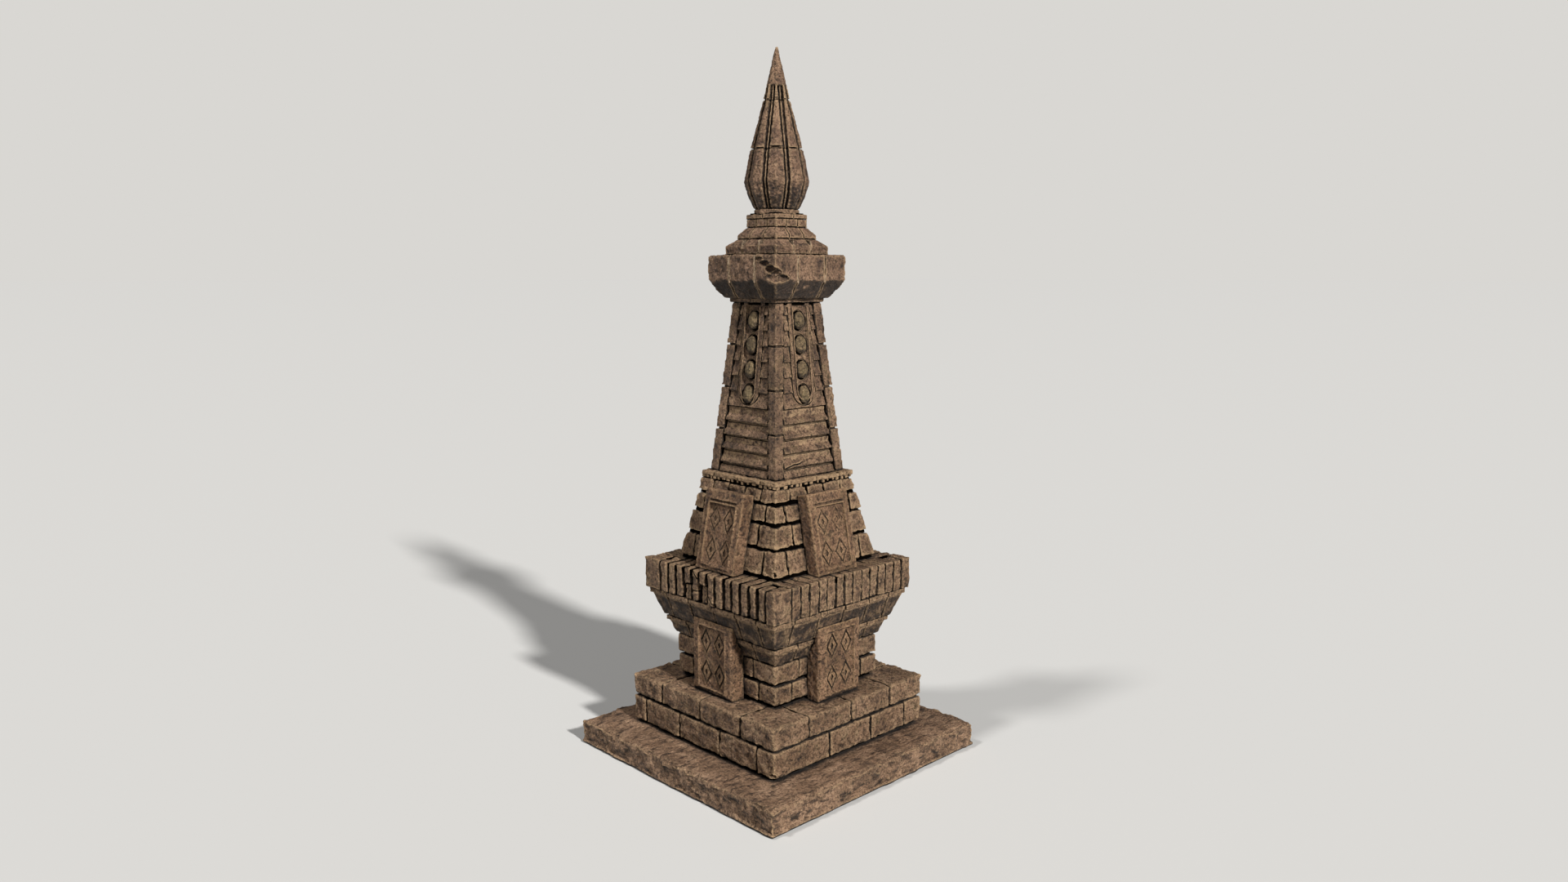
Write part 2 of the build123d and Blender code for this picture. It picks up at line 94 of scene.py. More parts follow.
def add_node(
    tree: Tree, kind: str, settings: dict | None = None, stops: dict[float, str] | None = None, **links
) -> Node:
    """Add a shader node with its settings and what feeds it.

    Args:
        tree: The material's node tree.
        kind: Node type without its Shader prefix.
        settings: Attributes of the node.
        stops: Hex colours of a ramp, at places from 0 to 1.
        links: Inputs by name, with spaces as underscores, or as i and a number. A socket or a node's
            first output is linked, and a value or a hex colour is set.

    Returns:
        The new node.
    """
    node = tree.nodes.new("ShaderNode" + kind)
    for name, value in (settings or {}).items():
        setattr(node, name, value)
    if stops:
        elements = node.color_ramp.elements
        while len(elements) < len(stops):
            elements.new(0.5)
        for element, (place, colour) in zip(elements, sorted(stops.items())):
            element.position = place
            element.color = linear(colour)
    for name, value in links.items():
        key = name.replace("_", " ")
        socket = node.inputs[int(key[1:])] if key[0] == "i" and key[1:].isdigit() else node.inputs[key]
        if isinstance(value, Node):
            value = value.outputs[0]
        if isinstance(value, bpy.types.NodeSocket):
            tree.links.new(value, socket)
        else:
            socket.default_value = linear(value) if isinstance(value, str) else value
    return node


def start_material(name: str) -> tuple[bpy.types.Material, Tree]:
    """Start a material without nodes.

    Args:
        name: The material's name.

    Returns:
        The material and its node tree.
    """
    made = bpy.data.materials.new(name)
    made.use_nodes = True
    made.node_tree.nodes.clear()
    return made, made.node_tree


@dataclass(frozen=True)
class WeatheredStone:
    """Rough sandstone, hewn and long in the open: blotched, pitted, pale along its edges from wear and
    painted highlight, with painted shade in its pits, hollows and joints and on its undersides.
    """

    name: str
    slot: Slot
    pale: str
    middle: str
    deep: str
    # Colour of the pale edges, partly wear and partly painted highlight
    worn: str = "#bb9a74"
    moss: str = "#6b6238"
    moss_share: float = 0.35
    pit_mm: float = 16.0
    pit_depth_mm: float = 5.0
    grain_mm: float = 6.0
    # Grit is drawn this much coarser than life, so that it shows
    grain_drawn: float = 3.4
    wear_and_highlight: float = 0.75
    rim_mm: float = 26.0
    blotch_mm: float = 220.0
    patch_mm: float = 110.0
    # Depths are for the full range of a noise, of which it seldom uses half
    blow_mm: float = 40.0
    blow_depth_mm: float = 80.0
    # Waves that pull the round pits out of shape
    wave_mm: float = 50.0
    wave_depth_mm: float = 30.0
    crevice_shade_mm: float = 60.0
    # Near-black painted shade on undersides
    underside_shade: str = "#1b120b"
    # Near-black painted shade in joints, hollows and the gaps between parts
    crevice_shade: str = "#0e0a07"
    bedding: Sequence[float] = (1.0, 1.0, 1.0)
    roughness: float = 0.68
    specular: float = 0.45

    def build(self) -> bpy.types.Material:
        """Build the stone's nodes.

        Returns:
            The material.
        """
        made, tree = start_material(self.name)
        place = add_node(tree, "TexCoord").outputs["Object"]
        times = {"blend_type": "MULTIPLY"}
        # Blotches a hand or two wide, where the beds of the stone differ
        scale = scale_for(self.blotch_mm)
        blotch = add_node(tree, "TexNoise", Vector=place, Scale=scale, Detail=6.0, Roughness=0.62)
        tones = {0.3: self.deep, 0.46: self.middle, 0.62: self.pale}
        base = add_node(tree, "ValToRGB", stops=tones, Fac=blotch)
        # Grit that shows as dark and pale specks
        scale = scale_for(self.grain_drawn * self.grain_mm)
        grit = add_node(tree, "TexNoise", Vector=place, Scale=scale, Detail=5.0, Roughness=0.75)
        tint = add_node(tree, "ValToRGB", stops={0.36: "#3a3029", 0.47: "#cfc6bc", 0.56: "#ffffff"}, Fac=grit)
        base = add_node(tree, "MixRGB", times, Fac=0.75, Color1=base, Color2=tint)
        # Pits left by the point chisel and opened by frost, their colour darkened as painted shade
        warp = add_node(tree, "TexNoise", Vector=place, Scale=scale_for(self.wave_mm), Detail=3.0)
        reach = (self.wave_depth_mm * MM,) * 3
        operation = {"operation": "MULTIPLY_ADD"}
        bent = add_node(tree, "VectorMath", operation, i0=warp.outputs["Color"], i1=reach, i2=place)
        scale = scale_for(self.pit_mm)
        pits = add_node(tree, "TexVoronoi", {"feature": "SMOOTH_F1"}, Vector=bent, Scale=scale)
        hollow = add_node(tree, "MapRange", Value=pits, i1=0.05, i2=0.5)
        tint = add_node(tree, "ValToRGB", stops={0.0: "#57493c", 0.55: "#ffffff"}, Fac=hollow)
        base = add_node(tree, "MixRGB", times, Fac=0.7, Color1=base, Color2=tint)
        # Hollows between the blows of the chisel, their colour darkened as painted shade
        beds = add_node(tree, "VectorMath", {"operation": "MULTIPLY"}, i0=bent, i1=self.bedding)
        scale = scale_for(self.blow_mm)
        hewn = add_node(tree, "TexNoise", Vector=beds, Scale=scale, Detail=5.0, Roughness=0.62)
        tint = add_node(tree, "ValToRGB", stops={0.36: "#5b4b3e", 0.5: "#ffffff"}, Fac=hewn)
        base = add_node(tree, "MixRGB", times, Fac=0.85, Color1=base, Color2=tint)
        # Patches of thin green-brown growth
        scale = scale_for(self.patch_mm)
        growth = add_node(tree, "TexNoise", Vector=place, Scale=scale, Detail=7.0, Roughness=0.7)
        share = add_node(tree, "MapRange", Value=growth, i1=0.5, i2=0.68, i4=self.moss_share)
        base = add_node(tree, "MixRGB", Fac=share, Color1=base, Color2=self.moss)
        # Painted shade: undersides darkened near black, along a ragged line
        facing = add_node(tree, "SeparateXYZ", Vector=add_node(tree, "NewGeometry").outputs["Normal"])
        ragged = add_node(tree, "MapRange", Value=growth, i1=0.3, i2=0.7, i3=-0.25, i4=0.25)
        under = add_node(tree, "Math", {"operation": "ADD"}, i0=facing.outputs["Z"], i1=ragged)
        share = add_node(tree, "MapRange", Value=under, i1=-0.1, i2=-0.4, i4=0.88)
        base = add_node(tree, "MixRGB", Fac=share, Color1=base, Color2=self.underside_shade)
        normal = {}
        for height, depth_mm, strength in (
            (hewn, self.blow_depth_mm, 1.0), (hollow, self.pit_depth_mm, 1.0), (grit, 2 * self.grain_mm, 0.9),
        ):
            bump = add_node(tree, "Bump", Height=height, Distance=depth_mm * MM, Strength=strength, **normal)
            normal = {"Normal": bump}
        shader = add_node(
            tree, "BsdfPrincipled", Base_Color=self.age(tree, base, grit), Roughness=self.roughness,
            Specular_IOR_Level=self.specular, **normal,
        )
        add_node(tree, "OutputMaterial", Surface=shader)
        return made

    def age(self, tree: Tree, base: Node, grit: Node) -> Node:
        """Pale the edges here and there, partly as wear and partly as painted highlight, and darken joints,
        hollows and the gaps between parts with painted shade.

        Args:
            tree: The material's node tree.
            base: The stone's colour.
            grit: Noise that breaks up the rubbed edges.

        Returns:
            The colour with its pale edges and painted shade.
        """
        # Pale edges: partly wear, partly painted highlight
        local = {"inside": True, "only_local": True, "samples": 4}
        rim = add_node(tree, "AmbientOcclusion", local, Distance=self.rim_mm * MM)
        rub = add_node(tree, "MapRange", Value=grit, i1=0.42, i2=0.6, i3=0.12, i4=-0.1)
        edge = add_node(tree, "Math", {"operation": "ADD"}, i0=rim.outputs["AO"], i1=rub)
        share = add_node(tree, "MapRange", Value=edge, i1=0.88, i2=0.55, i4=self.wear_and_highlight)
        base = add_node(tree, "MixRGB", Fac=share, Color1=base, Color2=self.worn)
        # Painted shade: darker where other surfaces close in, in joints, hollows and between parts
        shut = add_node(tree, "AmbientOcclusion", {"samples": 6}, Distance=self.crevice_shade_mm * MM)
        share = add_node(tree, "MapRange", Value=shut.outputs["AO"], i1=0.8, i2=0.4, i4=0.95)
        return add_node(tree, "MixRGB", Fac=share, Color1=base, Color2=self.crevice_shade)


# Rough red-brown sandstone of the slab, its blows drawn out along one side
SLAB_STONE = WeatheredStone(
    "rough_hewn_sandstone", Slot.GROUND, "#b18f72", "#937358", "#6c533f", moss_share=0.1,
    bedding=(1.0, 0.3, 1.0),
)
# Squared blocks, deeply pitted, with broad pale rims of wear and painted highlight, and green-brown patches
BLOCK_STONE = WeatheredStone(
    "squared_sandstone", Slot.BLOCK, "#b29072", "#927256", "#674f3b", moss_share=0.28, pit_depth_mm=7.0,
    wear_and_highlight=0.85, rim_mm=40.0,
)
# Finer, redder and darker slabs of the tablets
TABLET_STONE = WeatheredStone(
    "reddish_slab_stone", Slot.TABLET, "#a98465", "#8a684c", "#604833", worn="#b8946c", moss_share=0.25
)
# Coarse upright stones with wide open pits
CORNICE_STONE = WeatheredStone(
    "pitted_cornice_stone", Slot.CORNICE, "#ae8e6e", "#8c6d52", "#604a38", moss_share=0.25, pit_mm=20.0,
    pit_depth_mm=7.0,
)
# Finely dressed stone of the shaft, with thin pale lines of wear and painted highlight along its carved edges
SHAFT_STONE = WeatheredStone(
    "carved_sandstone", Slot.SHAFT, "#ae8c6e", "#8a6c53", "#604a38", moss_share=0.3, pit_mm=14.0,
    grain_mm=5.0, rim_mm=9.0,
)
# Lichened brown-green sandstone of the bosses on the shaft
BOSS_STONE = WeatheredStone(
    "lichened_sandstone", Slot.SHAFT, "#a08864", "#7d694a", "#544530", moss="#67643a", moss_share=0.3,
    pit_mm=14.0, grain_mm=5.0,
)
# Clean warm stone high up, with little growth
CAPITAL_STONE = WeatheredStone(
    "capital_sandstone", Slot.CAPITAL, "#b08c70", "#8c6d55", "#624a3a", moss_share=0.15, pit_mm=18.0
)
# The same stone a little greyer and darker, at the weather end of the finial
FINIAL_STONE = WeatheredStone(
    "finial_sandstone", Slot.FINIAL, "#ab886b", "#876751", "#5a4535", moss_share=0.15, pit_mm=16.0
)
# Pale lime mortar standing a little proud of the joints of the head
POINTING = WeatheredStone(
    "lime_pointing", Slot.CAPITAL, "#b89a7c", "#9a7d62", "#6e5745", worn="#c4a888", moss_share=0.1,
    pit_mm=12.0, grain_mm=5.0,
)
# Old lime mortar deep in the joints, painted near black as the shade there, which reads as black lines
JOINT_SHADE_MORTAR = WeatheredStone(
    "old_mortar_painted_shade", Slot.BLOCK, "#0d0a07", "#0a0705", "#070504", worn="#0d0a07", moss="#0a0906",
    grain_mm=5.0, roughness=1.0, specular=0.0,
)

FINISHES: dict[str, bpy.types.Material] = {}


def deselect() -> None:
    """Leave object mode with nothing selected."""
    if bpy.context.object and bpy.context.object.mode != "OBJECT":
        bpy.ops.object.mode_set(mode="OBJECT")
    bpy.ops.object.select_all(action="DESELECT")


def make_active(piece: Piece) -> None:
    """Select one object alone.

    Args:
        piece: The object.
    """
    deselect()
    piece.select_set(True)
    bpy.context.view_layer.objects.active = piece


def start_piece(name: str) -> Piece:
    """Start an empty mesh piece, open in edit mode.

    Args:
        name: The piece's name.

    Returns:
        The new object.
    """
    piece = bpy.data.objects.new(name, bpy.data.meshes.new(name))
    bpy.context.scene.collection.objects.link(piece)
    make_active(piece)
    bpy.ops.object.mode_set(mode="EDIT")
    return piece


def turn_rect(rect: Rect, quarter_turns: int) -> Rect:
    """Turn a plan rectangle about the middle, anticlockwise.

    Args:
        rect: Lowest and highest x, then lowest and highest y.
        quarter_turns: How many quarter turns.

    Returns:
        The turned rectangle.
    """
    x0, x1, y0, y1 = rect
    for _ in range(quarter_turns):
        x0, x1, y0, y1 = -y1, -y0, x0, x1
    return x0, x1, y0, y1


def side_turn(side: int) -> Matrix:
    """Quarter turns that carry the front to a side.

    Args:
        side: Side number, anticlockwise from the front.

    Returns:
        The turn about the upright axis.
    """
    return Matrix.Rotation(math.radians(90 * side), 4, "Z")


def add_block(foot: Rect, head: Rect, low: float, high: float) -> None:
    """Add a stone to the open mesh: a cube at its size and place, its top ring moved to the head.

    Args:
        foot: Plan of its underside.
        head: Plan of its top.
        low: Level of its underside.
        high: Level of its top.
    """
    size = (foot[1] - foot[0], foot[3] - foot[2], high - low)
    middle = ((foot[0] + foot[1]) / 2, (foot[2] + foot[3]) / 2, (low + high) / 2)
    bpy.ops.mesh.primitive_cube_add(size=1, location=middle, scale=size)
    if head == foot:
        return
    mesh = bmesh.from_edit_mesh(bpy.context.object.data)
    for vertex in mesh.verts:
        if vertex.select and vertex.co.z < middle[2]:
            vertex.select_set(False)
    mesh.select_flush_mode()
    head_size = (head[1] - head[0], head[3] - head[2])
    shift = ((head[0] + head[1]) / 2 - middle[0], (head[2] + head[3]) / 2 - middle[1], 0)
    bpy.ops.transform.resize(
        value=(head_size[0] / size[0], head_size[1] / size[1], 1), center_override=middle
    )
    bpy.ops.transform.translate(value=shift)


def add_square(foot: float, head: float, low: float, high: float) -> None:
    """Add a block that stands about the middle to the open mesh.

    Args:
        foot: Half the width of its underside.
        head: Half the width of its top.
        low: Level of its underside.
        high: Level of its top.
    """
    add_block((-foot, foot, -foot, foot), (-head, head, -head, head), low, high)


def place_added(piece: Piece, place: Matrix) -> None:
    """Move what was just added to the open mesh into its place.

    Args:
        piece: The open piece.
        place: The matrix to apply.
    """
    mesh = bmesh.from_edit_mesh(piece.data)
    bmesh.ops.transform(mesh, matrix=place, verts=[v for v in mesh.verts if v.select])
    bpy.ops.mesh.select_all(action="DESELECT")
    bmesh.update_edit_mesh(piece.data)


def subdivide_along(axis: int, cuts: int, shortest: float) -> None:
    """Cut every long edge that runs along one axis.

    Args:
        axis: 0, 1 or 2 for X, Y or Z.
        cuts: How many cuts an edge gets.
        shortest: Edges no longer than this stay whole.
    """
    if cuts < 1:
        return
    bpy.ops.mesh.select_all(action="DESELECT")
    mesh = bmesh.from_edit_mesh(bpy.context.object.data)
    for edge in mesh.edges:
        run = edge.verts[1].co - edge.verts[0].co
        if run.length > shortest and abs(run[axis]) > 0.8 * run.length:
            edge.select_set(True)
    bpy.ops.mesh.subdivide(number_cuts=cuts)


def round_and_cut(worn: float, cuts: Sequence[int], segments: int = 2) -> None:
    """Wear the edges of every stone in the open mesh, then cut its faces into a grid.

    Args:
        worn: Radius of the worn edges.
        cuts: Cuts along X, Y and Z.
        segments: Facets of the worn edge.
    """
    bpy.ops.mesh.select_all(action="SELECT")
    bpy.ops.mesh.bevel(offset=worn, segments=segments, affect="EDGES", clamp_overlap=True)
    for axis, count in enumerate(cuts):
        subdivide_along(axis, count, worn * 1.1)


def apply_modifier(piece: Piece, kind: str, **settings) -> None:
    """Add a modifier and apply it.

    Args:
        piece: The piece.
        kind: Modifier type.
        settings: Its attributes.
    """
    make_active(piece)
    modifier = piece.modifiers.new(kind.lower(), kind)
    for name, value in settings.items():
        setattr(modifier, name, value)
    bpy.ops.object.modifier_apply(modifier=modifier.name)


def subtract(piece: Piece, cutter: Piece) -> None:
    """Cut one closed mesh out of another and delete it.

    Args:
        piece: The closed piece.
        cutter: What is cut away.
    """
    apply_modifier(piece, "BOOLEAN", operation="DIFFERENCE", solver="MANIFOLD", object=cutter)
    bpy.data.objects.remove(cutter)


def roughen(
    piece: Piece, layers: Layers, where: Callable[[Vector], bool] | None = None, rest: float = 0.55
) -> None:
    """Weather a piece's surface by displacement.

    Args:
        piece: The piece.
        layers: Size of the bumps and depth of each layer, in metres.
        where: Tells which points weather; all do without it.
        rest: Texture value that leaves the surface where it is; more wears it inwards.
    """
    make_active(piece)
    group_name = ""
    if where is not None:
        group = piece.vertex_groups.new(name="weathered")
        group.add([v.index for v in piece.data.vertices if where(v.co)], 1.0, "REPLACE")
        group_name = group.name
    for number, (size, depth) in enumerate(layers):
        texture = bpy.data.textures.new(f"{piece.name}_{number}", "CLOUDS")
        texture.noise_scale = size
        texture.noise_depth = 3
        apply_modifier(
            piece, "DISPLACE", texture=texture, texture_coords="LOCAL", strength=depth, mid_level=rest,
            vertex_group=group_name,
        )
    piece.vertex_groups.clear()


# A weathered mesh of more faces than this is thinned to a share of them, most of all where it is flat
FINE_MESH = 2000
KEPT_SHARE = 0.56
# Edges sharper than this stay crisp
SMOOTH_ANGLE = math.radians(40)


def dress(piece: Piece, finish: WeatheredStone, replaced: Sequence[str] = ()) -> None:
    """Shade a finished piece, give it its stone and tie it to the frame.

    Args:
        piece: The piece.
        finish: Its stone.
        replaced: CAD nodes that it stands for.
    """
    make_active(piece)
    if len(piece.data.polygons) > FINE_MESH:
        apply_modifier(piece, "DECIMATE", ratio=KEPT_SHARE)
    bpy.ops.object.shade_smooth_by_angle(angle=SMOOTH_ANGLE)
    if finish.name not in FINISHES:
        FINISHES[finish.name] = finish.build()
    piece.data.materials.clear()
    piece.data.materials.append(FINISHES[finish.name])
    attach(piece, BODY)
    if replaced:
        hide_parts(*replaced)
    deselect()
    LOG.info("%s: %d triangles", piece.name, sum(len(face.vertices) - 2 for face in piece.data.polygons))


def chip(piece: Piece, middle: Sequence[float], size: Sequence[float], seed: int, turn: float = 0.0) -> None:
    """Break a rough hollow out of a piece.

    Args:
        piece: The closed piece.
        middle: Middle of the hollow.
        size: Half its size each way.
        seed: Picks the roughness.
        turn: Turn of the hollow about the upright axis, in degrees.
    """
    deselect()
    bpy.ops.mesh.primitive_ico_sphere_add(subdivisions=3, radius=1, location=(0, 0, 0))
    cutter = bpy.context.object
    dice = random.Random(seed)
    for vertex in cutter.data.vertices:
        vertex.co *= dice.uniform(0.86, 1.12)
    turned = Matrix.Rotation(math.radians(turn), 4, "Z") @ Matrix.Diagonal((*size, 1))
    cutter.data.transform(Matrix.Translation(middle) @ turned)
    subtract(piece, cutter)


def cut_slots(piece: Piece, slots: Sequence[Joint]) -> None:
    """Cut thin upright or level joints into a piece.

    Args:
        piece: The closed piece.
        slots: Plan, underside and top of each joint.
    """
    cutter = start_piece("joint_cutter")
    for rect, low, high in slots:
        add_block(rect, rect, low, high)
    subtract(piece, cutter)


# Steps of a crack along its run
CRACK_STEPS = 14


def cut_crack(
    piece: Piece, start: Sequence[float], end: Sequence[float], outward: Sequence[float], width: float,
    depth: float,
) -> None:
    """Split a face along a thin ragged crack.

    Args:
        piece: The closed piece.
        start: One end of the crack, on the face.
        end: Its other end.
        outward: Direction out of the face.
        width: Width of the crack.
        depth: How far it reaches into the stone.
    """
    deselect()
    run = Vector(end) - Vector(start)
    along, out = run.normalized(), Vector(outward).normalized()
    bpy.ops.mesh.primitive_grid_add(x_subdivisions=CRACK_STEPS, y_subdivisions=1, size=1, location=(0, 0, 0))
    cutter = bpy.context.object
    dice = random.Random(round(run.length * 1000))
    shifts = [dice.uniform(-0.45, 0.45) for _ in range(CRACK_STEPS + 1)]
    for vertex in cutter.data.vertices:
        vertex.co.y += shifts[round((vertex.co.x + 0.5) * CRACK_STEPS)]
    apply_modifier(cutter, "SOLIDIFY", thickness=1.0, offset=0.0)
    turn = Matrix((along, out.cross(along), out)).transposed().to_4x4()
    middle = Matrix.Translation((Vector(start) + Vector(end)) / 2)
    cutter.data.transform(middle @ turn @ Matrix.Diagonal((run.length, width, 2 * depth, 1)))
    subtract(piece, cutter)


def copy_node(node: str, name: str) -> Piece:
    """Copy a CAD node into a new piece with its facets joined.

    Args:
        node: The CAD node.
        name: The new piece's name.

    Returns:
        The new piece.
    """
    piece = bpy.data.objects.new(name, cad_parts[node].data.copy())
    bpy.context.scene.collection.objects.link(piece)
    make_active(piece)
    bpy.ops.object.mode_set(mode="EDIT")
    bpy.ops.mesh.select_all(action="SELECT")
    bpy.ops.mesh.remove_doubles(threshold=0.02 * MM)
    bpy.ops.object.mode_set(mode="OBJECT")
    return piece


def weather_copy(node: str, name: str, grid_mm: float) -> Piece:
    """Copy a CAD node into a new piece with an even closed mesh, ready to weather.

    Args:
        node: The CAD node.
        name: The new piece's name.
        grid_mm: Spacing of the new mesh.

    Returns:
        The new piece.
    """
    piece = copy_node(node, name)
    apply_modifier(piece, "REMESH", mode="VOXEL", voxel_size=grid_mm * MM)
    return piece


@dataclass
class Course:
    """A course of separate stones round the four sides, with one stone at each corner."""

    node: str
    name: str
    finish: WeatheredStone
    joints_front: Sequence[float]
    joints_right: Sequence[float]
    head_half: float | None = None
    gap: float = 9 * MM
    bed: float = 10 * MM
    depth: float = 0.2
    worn: float = 14 * MM
    cuts: tuple[int, int, int] = (12, 12, 8)
    uneven: float = 3 * MM
    roughness: Layers = (
        (0.12, 0.022), (0.045, 0.024), (0.022, 0.011),
    )
    seed: int = 1
    lift: float = 0.0
    breaks: Sequence[Hollow] = ()

    def build(self) -> None:
        """Lay the stones, wear them and dress them."""
        low_corner, high_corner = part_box(self.node)
        foot_half = high_corner.x
        head_half = foot_half if self.head_half is None else self.head_half
        low, high = low_corner.z + self.bed, high_corner.z + self.lift
        dice = random.Random(self.seed)
        piece = start_piece(self.name)
        for side in range(4):
            joints = self.joints_front if side % 2 == 0 else self.joints_right
            across = self.joints_right if side % 2 == 0 else self.joints_front
            for start, end in zip(joints, joints[1:]):
                out = dice.uniform(0, self.uneven)
                drop = dice.uniform(0, self.uneven)
                self.lay(side, start, end, foot_half - out, head_half - out, low, high - drop, None)
            out = dice.uniform(0, self.uneven)
            self.lay(side, joints[-1], None, foot_half - out, head_half - out, low, high, across[0])
        round_and_cut(self.worn, self.cuts)
        roughen(piece, self.roughness)
        for number, (middle, size) in enumerate(self.breaks):
            chip(piece, middle, size, self.seed * 10 + number)
        dress(piece, self.finish, (self.node,))

    def lay(
        self, side: int, start: float, end: float | None, foot: float, head: float, low: float, high: float,
        across: float | None,
    ) -> None:
        """Lay one stone of a side, or the corner stone at its right-hand end.

        Args:
            side: Side number, anticlockwise from the front.
            start: Joint at its left.
            end: Joint at its right, or None for a corner stone.
            foot: Distance of its foot from the middle.
            head: Distance of its head from the middle.
            low: Level of its underside.
            high: Level of its top.
            across: First joint of the next side, for a corner stone.
        """
        half_gap = self.gap / 2
        if end is None:
            feet = (start + half_gap, foot, -foot, across - half_gap)
            heads = (start + half_gap, head, -head, across - half_gap)
        else:
            feet = (start + half_gap, end - half_gap, -foot, -foot + self.depth)
            heads = (start + half_gap, end - half_gap, -head, -head + self.depth)
        add_block(turn_rect(feet, side), turn_rect(heads, side), low, high)


@dataclass
class GroundSlab:
    """The wide low slab, broken along its edges."""

    worn: float = 24 * MM
    corner: float = 95 * MM
    inset: float = 6 * MM
    broken_edge: float = 45 * MM
    cuts: tuple[int, int, int] = (92, 92, 10)
    chips: int = 20

    def build(self) -> None:
        """Model and dress the slab."""
        low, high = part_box("ground_slab")
        half = high.x - self.inset
        piece = start_piece("slab")
        add_square(half, half, low.z, high.z)
        bpy.ops.mesh.select_all(action="DESELECT")
        mesh = bmesh.from_edit_mesh(piece.data)
        for edge in mesh.edges:
            edge.select_set(abs(edge.verts[0].co.z - edge.verts[1].co.z) > 0.1)
        bpy.ops.mesh.bevel(offset=self.corner, segments=4, affect="EDGES")
        round_and_cut(self.worn, self.cuts, 3)
        roughen(piece, ((0.16, 0.024), (0.05, 0.014)), lambda point: point.z > 2 * MM, 0.62)
        edge_start = half - self.broken_edge
        roughen(
            piece, ((0.09, 0.05), (0.035, 0.034)),
            lambda point: point.z > 30 * MM and max(abs(point.x), abs(point.y)) > edge_start, 0.66,
        )
        dice = random.Random(2)
        for number in range(self.chips):
            along, size = dice.uniform(-0.92, 0.92) * half, dice.uniform(0.02, 0.05)
            turn = number % 4
            middle = side_turn(turn) @ Vector((along, -half, high.z))
            chip(piece, middle, (2.2 * size, size, 0.8 * size), 200 + number, 90 * turn)
        dress(piece, SLAB_STONE, ("ground_slab",))


